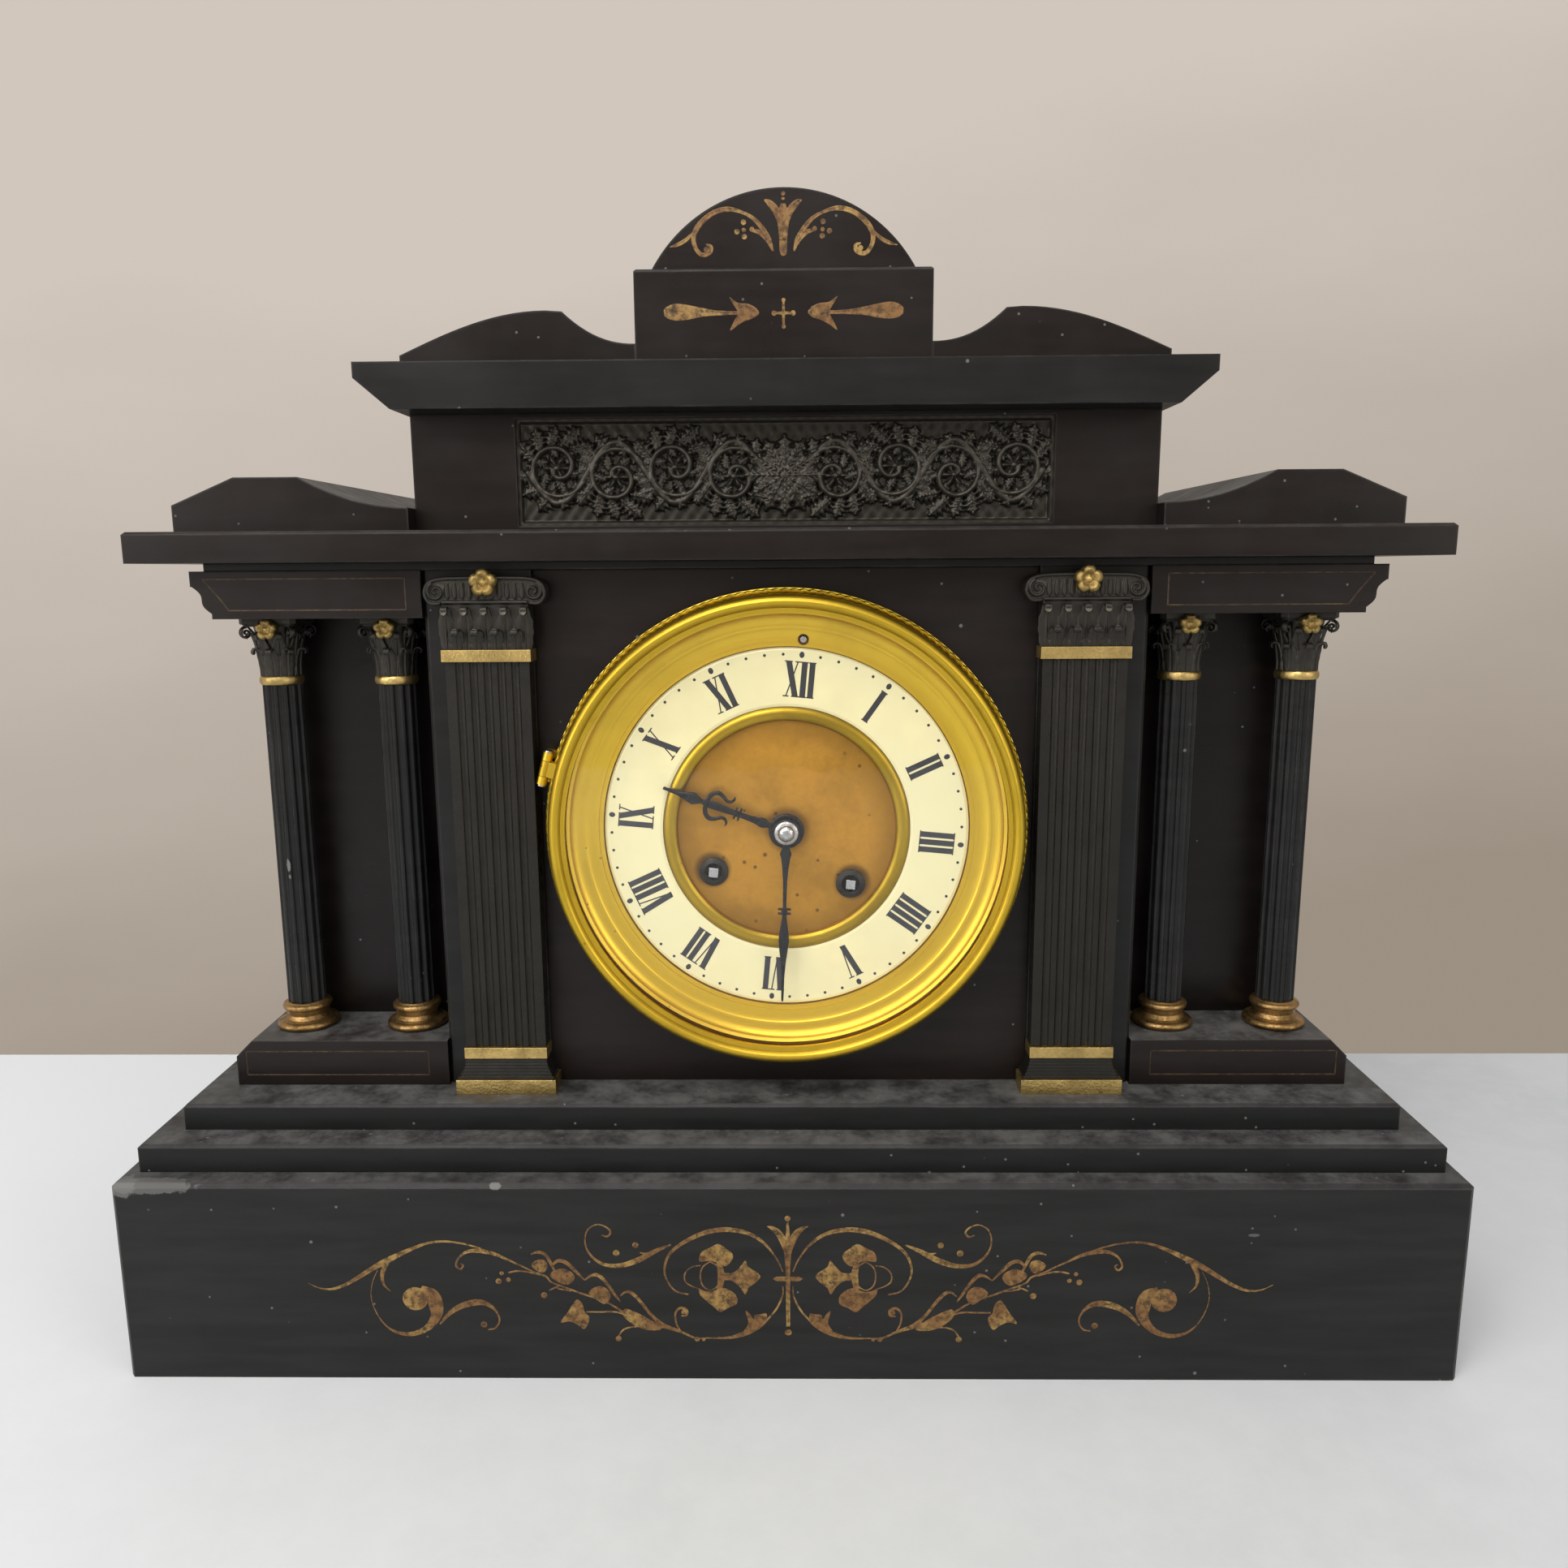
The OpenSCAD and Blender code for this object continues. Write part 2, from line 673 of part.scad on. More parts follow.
// flange on the panel, tube through it, and the stepped hollow ring round the dial
module dial_ring() {
    brass() difference() {
        union() {
            at_dial() {
                dial_ring_profile();
                for (s = [-1, 1]) translate([s*(ring_tube_r - ring_tube_t/2), 0, 0])
                    block(-strap_t/2, strap_t/2, panel_y + panel_t - 1, rear_tube_y, -strap_w/2, strap_w/2);
            }
            at_hinge() for (s = [-1, 1]) {
                z0 = s*(pin_len/2 - side_knuckle/2) - side_knuckle/2;
                foot_y = hinge_y - ring_front_y;
                block(bezel_r - 3 - hinge_r, 1.2, foot_y - 1.4, foot_y, z0, z0 + side_knuckle);
                block(0.2, 1.2, foot_y - 1, 0, z0, z0 + side_knuckle);
                translate([0, 0, z0]) cylinder(r = knuckle_r, h = side_knuckle, $fn = 32);
            }
        }
        at_hinge() pin_hole(pin_len + 2);
        at_dial() rod(1.6, slip_y - 1, panel_y, 0, regulator_up);
    }
}

module dial_ring_profile() {
    lip_in = chapter_r + 0.3;
    tube_in = ring_tube_r - ring_tube_t;
    low_y = dial_y - 1.1;
    lathe() polygon(concat(
        [[tube_in, panel_y + panel_t], [tube_in, plate_y], [lip_in, plate_y], [lip_in, dial_y - 0.8],
         [54.2, dial_y - 0.8], [54.2, low_y]],
        [for (a = [0:10:60]) [54.4 + 4.2*sin(a), low_y - 1.5*(1 - cos(a))]],
        [for (a = [0:10:80]) [58.6 + 3.6*sin(a), slip_y + 2.4 - 2.4*(1 - cos(a))]],
        [[slip_r, slip_y], [slip_r, ring_front_y], [bezel_r - 1, ring_front_y], [bezel_r - 1, panel_y],
         [ring_tube_r, panel_y], [ring_tube_r, panel_y + panel_t]]));
}

// outer rim, round bead, and the lip that holds the glass
module bezel() {
    bead_y = bezel_front_y + 3.6;
    brass() difference() {
        union() {
            translate([0, 0, dial_z]) lathe() polygon(concat(
                [[bezel_in_r, bezel_back_y], [bezel_r, bezel_back_y], [bezel_r, bezel_back_y - 3.8],
                 [bezel_r - 1.6, bezel_back_y - 4.4]],
                [for (a = [0:12:144]) [bezel_r - 3.7 + 2.1*cos(a), bead_y - 3.4*sin(a)]],
                [[lip_r, bezel_front_y + 1.8], [lip_r, glass_y], [bezel_in_r, glass_y]]));
            at_hinge() {
                block(bezel_r - 4 - hinge_r, 0, -1.2, 1.2, -knuckle_len/2, knuckle_len/2);
                cylinder(r = knuckle_r, h = knuckle_len, center = true, $fn = 32);
            }
        }
        at_hinge() pin_hole(knuckle_len + 2);
    }
}

// domed glass, seated behind the bezel's lip
module bezel_glass() {
    big_r = (glass_r*glass_r + glass_rise*glass_rise)/(2*glass_rise);
    front = function(r) glass_y - (sqrt(big_r*big_r - r*r) - (big_r - glass_rise));
    flat_r = lip_r - 0.6;
    color([0.85, 0.92, 0.92, 0.35]) translate([0, 0, dial_z]) lathe() polygon(concat(
        [for (i = [0:12]) [flat_r*i/12, front(flat_r*i/12) + 0.4]],
        [[flat_r, glass_y], [glass_r, glass_y], [glass_r, glass_y + glass_t]],
        [for (i = [12:-1:0]) [flat_r*i/12, front(flat_r*i/12) + 0.4 + glass_t]]));
}

module chapter_ring() {
    color([0.93, 0.90, 0.78]) at_dial() lathe() polygon([
        [chapter_in_r, plate_y], [chapter_in_r, dial_y + 0.3], [chapter_in_r + 0.8, dial_y],
        [chapter_r - 0.8, dial_y], [chapter_r, dial_y + 0.3], [chapter_r, plate_y]]);
}

// plate behind the dial, its polished middle showing
module dial_centre() {
    color([0.72, 0.50, 0.25]) at_dial() difference() {
        rod(dial_plate_r, plate_y, plate_y + dial_plate_t);
        rod(pipe_r + 0.3, plate_y - 1, plate_y + 2);
        for (s = [-1, 1]) rod(collet_r + play, plate_y - 1, plate_y + 2, s*arbor_x, arbor_z);
        rod(regulator_r + 0.3, plate_y - 1, plate_y + 2, 0, regulator_up);
    }
    brass() at_dial() for (a = [60, 180, 300])
        rod(1.5, plate_y + dial_plate_t, front_plate_y, 42*cos(a), 42*sin(a));
}

module inner_ring() {
    half = (chapter_in_r - inner_ring_r)/2;
    brass() at_dial() lathe() polygon(concat([[inner_ring_r, plate_y]],
        [for (a = [180:-15:0]) [inner_ring_r + half + (half - 0.1)*cos(a), plate_y - 0.6 - 1.3*sin(a)]],
        [[chapter_in_r - 0.1, plate_y]]));
}

module winding_collets() {
    bronze() at_dial() for (s = [-1, 1]) translate([s*arbor_x, 0, arbor_z]) lathe() polygon([
        [collet_in_r, plate_y + dial_plate_t], [collet_in_r, plate_y - 0.6], [collet_r - 0.8, plate_y - 1.1],
        [collet_r + 0.6, plate_y - 0.4], [collet_r + 0.6, plate_y], [collet_r, plate_y],
        [collet_r, plate_y + dial_plate_t]]);
}

// the movement's plates and arbors, in the dial's frame
front_plate_y = panel_y + 8;
plate_t = 2;
gap_y = front_plate_y + plate_t;
back_plate_y = gap_y + plate_gap;
behind_y = back_plate_y + plate_t;
arbor_x = arbor_out*sin(arbor_angle);
arbor_z = -arbor_out*cos(arbor_angle);
arbor_r = 2.5;
pivot_r = 1.6;
square_w = 2.7;
centre_r = 1.2;
cannon_r = 1.95;
pipe_in_r = cannon_r + play;
pipe_r = 3;
pillar_x = [22, 12];
pillar_z = [35, -40];
pillar_r = 2.4;

// motion work behind the dial: 12 to 36, then 10 to 40, so the hour hand turns once in twelve hours
motion_out = 9.6;
cannon_teeth = 12;
minute_wheel_teeth = 36;
minute_pinion_teeth = 10;
hour_wheel_teeth = 40;
motion_dir = 135;
cannon_module = 2*motion_out/(cannon_teeth + minute_wheel_teeth);
hour_module = 2*motion_out/(minute_pinion_teeth + hour_wheel_teeth);
cannon_y = panel_y + 5.2;
hour_wheel_y = panel_y + 2.4;
wheel_t = 1.2;

// going train: barrel to centre pinion, centre wheel to third pinion, third wheel to escape pinion
great_teeth = 60;
centre_pinion_teeth = 14;
great_module = 2*arbor_out/(great_teeth + centre_pinion_teeth);
centre_teeth = 64;
third_pinion_teeth = 8;
centre_module = 0.36;
third_out = centre_module*(centre_teeth + third_pinion_teeth)/2;
third_dir = 50;
third_x = third_out*cos(third_dir);
third_z = third_out*sin(third_dir);
third_teeth = 72;
escape_pinion_teeth = 8;
third_module = 0.28;
escape_out = third_module*(third_teeth + escape_pinion_teeth)/2;
escape_z = third_z + sqrt(escape_out*escape_out - third_x*third_x);
escape_dir = atan2(escape_z - third_z, -third_x);
escape_teeth = 32;
escape_r = 9;
small_arbor_r = 0.8;
anchor_up = 30.4;
centre_wheel_y = gap_y + 0.8;
great_t = 2;
great_y = back_plate_y - 7;
third_wheel_y = back_plate_y - 4.4;
escape_y = gap_y + 10;

// toothed disc: a tooth points along `dir`, or a gap when `gap` is 1
module gear(teeth, pitch_module, dir, gap = 0) {
    r = teeth*pitch_module/2;
    step = 360/teeth;
    root = r - 1.05*pitch_module;
    tip = r + 0.75*pitch_module;
    polygon([for (i = [0:teeth - 1]) for (k = [[root, -0.30], [tip, -0.12], [tip, 0.12], [root, 0.30]])
        k[0]*[cos(dir + step*(i + gap/2 + k[1])), sin(dir + step*(i + gap/2 + k[1]))]]);
}

// flat ring sectors between the spokes of a wheel
module crossings(r_in, r_out, count = 5, spoke = 9) {
    for (i = [0:count - 1]) {
        a0 = 360*i/count + spoke;
        a1 = 360*(i + 1)/count - spoke;
        polygon(concat([for (t = [0:4]) r_in*[cos(a0 + (a1 - a0)*t/4), sin(a0 + (a1 - a0)*t/4)]],
            [for (t = [4:-1:0]) r_out*[cos(a0 + (a1 - a0)*t/4), sin(a0 + (a1 - a0)*t/4)]]));
    }
}

module hour_angle() { rotate([0, 30*(shown_hour + shown_minute/60), 0]) children(); }
module minute_angle() { rotate([0, 6*shown_minute, 0]) children(); }

hour_y = dial_y - 1.6;
minute_y = hour_y - hand_t - 1.6;

// hub, knop, paired crescents and a spade tip
module hour_hand() {
    color([0.06, 0.06, 0.07]) at_dial() hour_angle() difference() {
        union() {
            hour_blade() circle(4.2);
            hour_blade() polygon([[-0.65, 3.7], [-0.65, hour_len - 9], [-1.9, hour_len - 6.5],
                [-0.4, hour_len - 3.5], [0, hour_len], [0.4, hour_len - 3.5], [1.9, hour_len - 6.5],
                [0.65, hour_len - 9], [0.65, 3.7]]);
            for (h = [9.2, 12.2]) hour_blade() translate([-1.8, h]) square([3.6, 0.8]);
            hour_blade() translate([0, 10.9]) circle(1.6, $fn = 24);
            for (s = [-1, 1]) hour_blade() translate([s*2.9, 21]) circle(3.2, $fn = 32);
        }
        for (s = [-1, 1]) rod(2.3, hour_y - 2, hour_y + 1, s*3.4, 22.1);
        rod(pipe_r + play, hour_y - 2, hour_y + 1);
    }
}

module hour_blade() { plate(hour_y - hand_t, hour_y) children(); }

// long pointer with a knop and a lozenge, on the pipe that carries its pinion
module minute_hand() {
    color([0.06, 0.06, 0.07]) at_dial() difference() {
        union() {
            minute_angle() plate(minute_y - hand_t, minute_y) {
                circle(3.4);
                polygon([[-0.9, 2], [-0.5, 24], [-0.25, minute_len], [0.25, minute_len], [0.5, 24], [0.9, 2]]);
                translate([0, 9.4]) circle(1.5, $fn = 24);
                for (h = [8, 10.8]) translate([-1.4, h - 0.3]) square([2.8, 0.6]);
                translate([0, 24]) polygon([[0, -3.4], [1.5, 0], [0, 3.4], [-1.5, 0]]);
                translate([-1.3, 24.4]) square([2.6, 0.6]);
            }
            rod(cannon_r, minute_y - 0.2, cannon_y + wheel_t);
            plate(cannon_y, cannon_y + wheel_t) gear(cannon_teeth, cannon_module, motion_dir);
        }
        rod(centre_r + play, minute_y - 3, cannon_y + 3);
    }
}

module hand_nut() {
    front = minute_y - hand_t;
    steel() at_dial() difference() {
        lathe() polygon([[0, front], [2.9, front], [2.9, front - 0.5], [1.9, front - 0.9], [1.7, front - 1.9],
            [0, front - 1.9]]);
        rod(centre_r + play, front - 1.2, front + 1);
    }
}

module minute_wheel() {
    x = motion_out*cos(motion_dir);
    z = motion_out*sin(motion_dir);
    back = motion_dir + 180;
    brass() at_dial() difference() {
        translate([x, 0, z]) {
            plate(cannon_y, cannon_y + wheel_t) gear(minute_wheel_teeth, cannon_module, back, 1);
            plate(hour_wheel_y, cannon_y) gear(minute_pinion_teeth, hour_module, back);
        }
        rod(small_arbor_r + play, hour_wheel_y - 1, cannon_y + 3, x, z);
    }
}

module hour_pipe() {
    brass() at_dial() difference() {
        union() {
            rod(pipe_r, hour_y - hand_t, hour_wheel_y + wheel_t);
            rod(pipe_r + 0.8, hour_y, hour_y + 0.6);
            plate(hour_wheel_y, hour_wheel_y + wheel_t) gear(hour_wheel_teeth, hour_module, motion_dir, 1);
        }
        rod(pipe_in_r, hour_y - 3, hour_wheel_y + 3);
    }
}

// round plate with three ears out to the tube of the dial ring
module front_plate() {
    brass() at_dial() {
        difference() {
            plate(front_plate_y, gap_y) difference() {
                union() {
                    circle(plate_r);
                    for (a = [90, 210, 330]) rotate(a) translate([plate_r - 4, -5])
                        square([dial_plate_r - plate_r + 3.6, 10]);
                }
            }
            plate_holes(front_plate_y, gap_y);
            rod(regulator_r + play, front_plate_y - 1, gap_y + 1, 0, regulator_up);
        }
        rod(small_arbor_r, hour_wheel_y - 0.6, front_plate_y, motion_out*cos(motion_dir), motion_out*sin(motion_dir));
    }
}

hammer_x = -36;
hammer_z = 18;
hammer_r = 1;

// bearing holes that both plates share
module plate_holes(y0, y1) {
    for (s = [-1, 1]) rod(pivot_r + play, y0 - 1, y1 + 1, s*arbor_x, arbor_z);
    rod(centre_r + play, y0 - 1, y1 + 1);
    rod(small_arbor_r + play, y0 - 1, y1 + 1, third_x, third_z);
    rod(small_arbor_r + play, y0 - 1, y1 + 1, 0, escape_z);
    rod(small_arbor_r + play, y0 - 1, y1 + 1, 0, anchor_up);
    rod(hammer_r + play, y0 - 1, y1 + 1, hammer_x, hammer_z);
}

// back plate with the four turned pillars riveted into it
module back_plate() {
    brass() at_dial() {
        difference() {
            rod(plate_r, back_plate_y, behind_y);
            plate_holes(back_plate_y, behind_y);
        }
        for (k = [0, 1]) for (s = [-1, 1]) translate([s*pillar_x[k], 0, pillar_z[k]]) lathe() polygon([
            [0, gap_y], [pillar_r + 0.6, gap_y], [pillar_r + 0.6, gap_y + 2], [pillar_r - 0.5, gap_y + 4],
            [pillar_r - 0.5, back_plate_y - 4], [pillar_r + 0.6, back_plate_y - 2],
            [pillar_r + 0.6, back_plate_y], [0, back_plate_y]]);
    }
}

// drum with its toothed wheel, free on the winding arbor
module barrel(drum_y, wheel_y, dir) {
    drum_len = plate_gap - 11;
    brass() difference() {
        union() {
            rod(barrel_r, drum_y, drum_y + drum_len);
            rod(barrel_r - 3, drum_y - 0.5, drum_y + drum_len + 0.5);
            plate(wheel_y, wheel_y + great_t) gear(great_teeth, great_module, dir, 1);
        }
        rod(arbor_r + play, gap_y, back_plate_y);
    }
}

module going_barrel() {
    at_dial() translate([arbor_x, 0, arbor_z]) barrel(great_y - plate_gap + 11, great_y, 90 + arbor_angle);
}

module strike_barrel() {
    at_dial() translate([-arbor_x, 0, arbor_z]) barrel(gap_y + 6, gap_y + 4, 90 - arbor_angle);
}

// arbor with its pivots, and the square the key fits
module winding_arbor() {
    square_y = dial_y - 0.4;
    steel() {
        rod(pivot_r, front_plate_y - 2, behind_y + 1);
        rod(arbor_r, gap_y + 0.3, back_plate_y - 0.3);
        plate(square_y, front_plate_y - 2) square(square_w, center = true);
    }
}

module going_arbor() { at_dial() translate([arbor_x, 0, arbor_z]) winding_arbor(); }
module strike_arbor() { at_dial() translate([-arbor_x, 0, arbor_z]) winding_arbor(); }

// wheel with a rim, spokes and a hub on its own arbor
module crossed_wheel(y, teeth, pitch_module, dir, gap) {
    rim = teeth*pitch_module/2 - 2.2;
    plate(y, y + wheel_t) difference() {
        gear(teeth, pitch_module, dir, gap);
        crossings(3.2, rim);
    }
}

module centre_arbor() {
    brass() at_dial() {
        rod(centre_r, minute_y - hand_t - 1, behind_y + 1);
        crossed_wheel(centre_wheel_y, centre_teeth, centre_module, third_dir, 0);
        plate(great_y - 0.3, great_y + great_t + 0.3)
            gear(centre_pinion_teeth, great_module, arbor_angle - 90, 0);
    }
}

module third_wheel() {
    brass() at_dial() translate([third_x, 0, third_z]) {
        rod(small_arbor_r, front_plate_y, behind_y);
        plate(centre_wheel_y - 0.2, centre_wheel_y + wheel_t + 0.2)
            gear(third_pinion_teeth, centre_module, third_dir + 180, 1);
        crossed_wheel(third_wheel_y, third_teeth, third_module, escape_dir, 0);
    }
}

// thin wheel with leaning pointed teeth
module escape_wheel() {
    step = 360/escape_teeth;
    brass() at_dial() translate([0, 0, escape_z]) {
        rod(small_arbor_r, front_plate_y, behind_y);
        plate(escape_y, escape_y + 1) difference() {
            polygon([for (i = [0:escape_teeth - 1]) for (k = [[escape_r - 1.5, 0], [escape_r, 0.3],
                [escape_r - 1.1, 0.42], [escape_r - 1.5, 0.7]])
                k[0]*[cos(step*(i + k[1])), sin(step*(i + k[1]))]]);
            crossings(2.4, escape_r - 3);
        }
        plate(third_wheel_y - 0.2, third_wheel_y + wheel_t + 0.2)
            gear(escape_pinion_teeth, third_module, escape_dir + 180, 1);
    }
}

// frame on the pendulum's axis, upright in the case
module at_pivot() {
    at_dial() translate([0, 0, anchor_up]) rotate([0, -dial_twist, 0]) children();
}

// depths behind the back plate, and the run of the crutch
crutch_y = behind_y + 2.6;
rod_y = behind_y + 6;
crutch_t = 1.6;
crutch_len = 26;
rod_r = 1;
fork_gap = 0.4;

// pallets over the escape wheel, their arbor, and the crutch with its fork behind the back plate
module anchor() {
    steel() {
        at_dial() translate([0, 0, anchor_up]) {
            plate(escape_y - 0.6, escape_y + 1.6) {
                circle(2.6);
                for (s = [-1, 1]) polygon([[0, 2.4], [s*5, 0.9], [s*9.6, -3], [s*10.3, -6.6],
                    [s*8.3, -7.2], [s*7.6, -4.4], [s*4.2, -1.8], [0, -2]]);
            }
            rod(small_arbor_r, front_plate_y, crutch_y + crutch_t);
        }
        at_pivot() {
            rod(1.8, crutch_y, crutch_y + crutch_t);
            block(-1, 1, crutch_y, crutch_y + crutch_t, -crutch_len, -1);
            block(-rod_r - fork_gap - 1, rod_r + fork_gap + 1, crutch_y, crutch_y + crutch_t,
                -crutch_len, 2 - crutch_len);
            for (s = [-1, 1]) translate([s*(rod_r + fork_gap + 0.5), 0, 0])
                block(-0.5, 0.5, crutch_y + crutch_t - 0.1, rod_y + 2.5, -crutch_len, 2 - crutch_len);
        }
    }
}

// bracket on the back plate: holds the pendulum's spring and the end of the regulating arbor
module suspension_cock() {
    brass() {
        difference() {
            at_dial() {
                block(-5, 5, behind_y, behind_y + 1.5, anchor_up - 4.4, regulator_up + 4);
                block(-3, 3, behind_y + 1.4, rod_y + 2, anchor_up + 5.6, anchor_up + 9);
            }
            at_dial() rod(2.2, behind_y - 1, behind_y + 3, 0, anchor_up);
            at_dial() rod(regulator_r + play, behind_y - 1, behind_y + 3, 0, regulator_up);
        }
        at_pivot() block(-1.5, 1.5, rod_y - 0.2, rod_y + 0.2, 0.3, 6.4);
    }
}

module regulator_arbor() {
    steel() at_dial() {
        rod(regulator_r, dial_y - 1.6, behind_y + 5, 0, regulator_up);
        rod(2.6, behind_y + 2, behind_y + 3.2, 0, regulator_up);
    }
}

module pendulum_rod() {
    steel() at_pivot() {
        block(-1.5, 1.5, rod_y - 0.2, rod_y + 0.2, -8, 0);
        translate([0, rod_y, -pendulum_len + bob_r]) cylinder(r = rod_r, h = pendulum_len - bob_r - 7, $fn = 32);
    }
}

// lens-shaped bob with its rating nut
module pendulum_bob() {
    edge = 0.9;
    brass() at_pivot() {
        translate([0, rod_y, -pendulum_len]) lathe() polygon(concat(
            [for (a = [0:10:90]) [bob_r*sin(a), -edge - 2.6*cos(a)]],
            [for (a = [90:-10:0]) [bob_r*sin(a), edge + 2.6*cos(a)]]));
        translate([0, rod_y, -pendulum_len - bob_r - 3]) {
            cylinder(r = rod_r, h = 4, $fn = 32);
            cylinder(r = 2.2, h = 1.6, $fn = 32);
        }
    }
}

bell_y = behind_y + 13;
bell_deep = 22;
bell_back_y = bell_y + 4 + bell_deep + 2.5;

module bell() {
    wall = 1.8;
    rim_y = bell_y + 4;
    color([0.72, 0.66, 0.50]) at_dial() lathe() polygon(concat(
        [[0, bell_back_y], [0, rim_y + bell_deep - wall]],
        [for (a = [80:-10:0]) [(bell_r - wall)*cos(a), rim_y + (bell_deep - wall)*sin(a)]],
        [[bell_r - wall + 0.5, bell_y], [bell_r + 0.6, bell_y]],
        [for (a = [0:10:70]) [bell_r*cos(a), rim_y + bell_deep*sin(a)]],
        [[4, rim_y + bell_deep*sin(acos(4/bell_r))], [4, bell_back_y]]));
}

stand_x = 38;
stand_z = -6;

// leg on the back plate with an arm behind the bell's crown
module bell_stand() {
    brass() at_dial() {
        rod(1.8, behind_y, bell_back_y + 2.5, stand_x, stand_z);
        plate(bell_back_y, bell_back_y + 2.5) {
            circle(4);
            translate([stand_x, stand_z]) circle(3);
            rotate(atan2(stand_z, stand_x)) translate([0, -2]) square([norm([stand_x, stand_z]), 4]);
        }
        rod(2.6, bell_back_y + 2.4, bell_back_y + 4);
    }
}

// head beside the bell's rim, its arm, and the arbor it swings on
module hammer() {
    head_r = 4.5;
    head_dir = 211.4;
    reach = bell_r + head_r + 1;
    head = reach*[cos(head_dir), sin(head_dir)];
    run = head - [hammer_x, hammer_z];
    steel() at_dial() {
        rod(hammer_r, front_plate_y, bell_y + 6, hammer_x, hammer_z);
        rod(head_r, bell_y + 1, bell_y + 8, head[0], head[1]);
        translate([hammer_x, 0, hammer_z]) plate(bell_y + 3, bell_y + 5) {
            circle(2.6);
            rotate(atan2(run[1], run[0])) translate([0, -1.1]) square([norm(run), 2.2]);
        }
    }
}

// rear ring, door and hinge, upright in the case
rear_flange_r = back_hole_r + 6;
rear_flange_t = 2.2;
rear_in_r = ring_tube_r - 2.6;
rear_tube_y = back_in_y - 3;
door_gap = 0.3;
door_t = 1.2;
door_y = case_back_y + rear_flange_t + door_gap;
door_pin_x = -rear_flange_r + 3.5;
door_pin_y = door_y + 2;

module at_rear() { translate([0, 0, dial_z]) children(); }
module at_door_pin() { translate([door_pin_x, door_pin_y, dial_z]) children(); }

module rear_ring() {
    lip = door_r - 1.5;
    flange_y = case_back_y + rear_flange_t;
    brass() difference() {
        union() {
            at_rear() lathe() polygon([[rear_in_r, rear_tube_y], [back_hole_r - 0.4, rear_tube_y],
                [back_hole_r - 0.4, case_back_y], [rear_flange_r, case_back_y], [rear_flange_r, flange_y - 0.8],
                [rear_flange_r - 0.8, flange_y], [lip, flange_y], [lip, flange_y - 1.2],
                [rear_in_r, flange_y - 1.2]]);
            at_door_pin() for (s = [-1, 1]) {
                z0 = s*(pin_len/2 - side_knuckle/2) - side_knuckle/2;
                block(-1, 1, flange_y - 0.4 - door_pin_y, 0, z0, z0 + side_knuckle);
                translate([0, 0, z0]) cylinder(r = knuckle_r, h = side_knuckle, $fn = 32);
            }
        }
        at_door_pin() pin_hole(pin_len + 2);
    }
}

module rear_door() {
    brass() difference() {
        union() {
            at_rear() {
                lathe() polygon([[0, door_y], [door_r, door_y], [door_r, door_y + door_t - 0.4],
                    [door_r - 0.5, door_y + door_t], [0, door_y + door_t]]);
                translate([door_r - 12, 0, 0]) lathe() polygon([[0, door_y + 0.5], [1.6, door_y + 0.5],
                    [1.6, door_y + 3], [3, door_y + 3.6], [3, door_y + 5], [0, door_y + 5.5]]);
            }
            at_door_pin() {
                block(0, -door_pin_x - door_r + 3, -1.6, -0.9, -knuckle_len/2, knuckle_len/2);
                cylinder(r = knuckle_r, h = knuckle_len, center = true, $fn = 32);
            }
        }
        at_door_pin() pin_hole(knuckle_len + 2);
    }
}

// headed pins of the two hinges
module hinge_pins() {
    steel() {
        at_hinge() headed_pin();
        at_door_pin() headed_pin();
    }
}

module headed_pin() {
    cylinder(r = pin_r, h = pin_len + 0.4, center = true, $fn = 32);
    for (s = [0, 180]) rotate([s, 0, 0]) translate([0, 0, pin_len/2]) cylinder(r = pin_r + 0.5, h = 0.5, $fn = 32);
}

plinth_front();
plinth_back();
plinth_ends();
lower_step();
upper_step();
pedestals();
dial_panel();
piers();
case_back();
wing_walls();
entablatures();
fillet_course();
main_slab();
lower_scrolls();
attic();
frieze_panel();
upper_cornice();
upper_scrolls();
top_block();
arched_crest();
column_shafts();
column_bases();
column_capitals();
gilt_bands();
capital_rosettes();
pilaster_shafts();
pilaster_capitals();
pilaster_bases();
dial_ring();
bezel();
bezel_glass();
hinge_pins();
chapter_ring();
dial_centre();
inner_ring();
winding_collets();
hour_hand();
minute_hand();
hand_nut();
front_plate();
back_plate();
going_barrel();
strike_barrel();
going_arbor();
strike_arbor();
centre_arbor();
third_wheel();
escape_wheel();
anchor();
minute_wheel();
hour_pipe();
suspension_cock();
regulator_arbor();
pendulum_rod();
pendulum_bob();
bell();
bell_stand();
hammer();
rear_ring();
rear_door();
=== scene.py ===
"""Slate mantel clock: finishes, carved, gilt and enamelled pieces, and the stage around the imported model.

Lengths in the shape functions are millimetres in the model's frame: x to the right, y to the back, z up.
build turns them into metres. A front face is named by its y.
"""

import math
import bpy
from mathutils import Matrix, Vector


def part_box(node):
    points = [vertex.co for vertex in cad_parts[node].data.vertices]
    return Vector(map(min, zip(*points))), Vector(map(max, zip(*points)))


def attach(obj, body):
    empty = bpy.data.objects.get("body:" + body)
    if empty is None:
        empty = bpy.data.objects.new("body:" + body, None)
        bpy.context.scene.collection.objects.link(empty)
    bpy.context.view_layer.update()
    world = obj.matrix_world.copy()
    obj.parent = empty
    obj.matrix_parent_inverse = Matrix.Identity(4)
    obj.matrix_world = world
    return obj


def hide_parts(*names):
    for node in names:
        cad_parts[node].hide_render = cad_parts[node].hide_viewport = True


bl_info = {
    "name": "Slate Mantel Clock",
    "version": (1, 0, 0),
    "blender": (4, 5, 0),
    "location": "View3D > Sidebar > Mantel Clock",
    "description": "Dresses the packed model of a slate mantel clock",
    "category": "Add Mesh",
}

import bmesh
import bpy
import numpy as np
from mathutils import Matrix, Vector

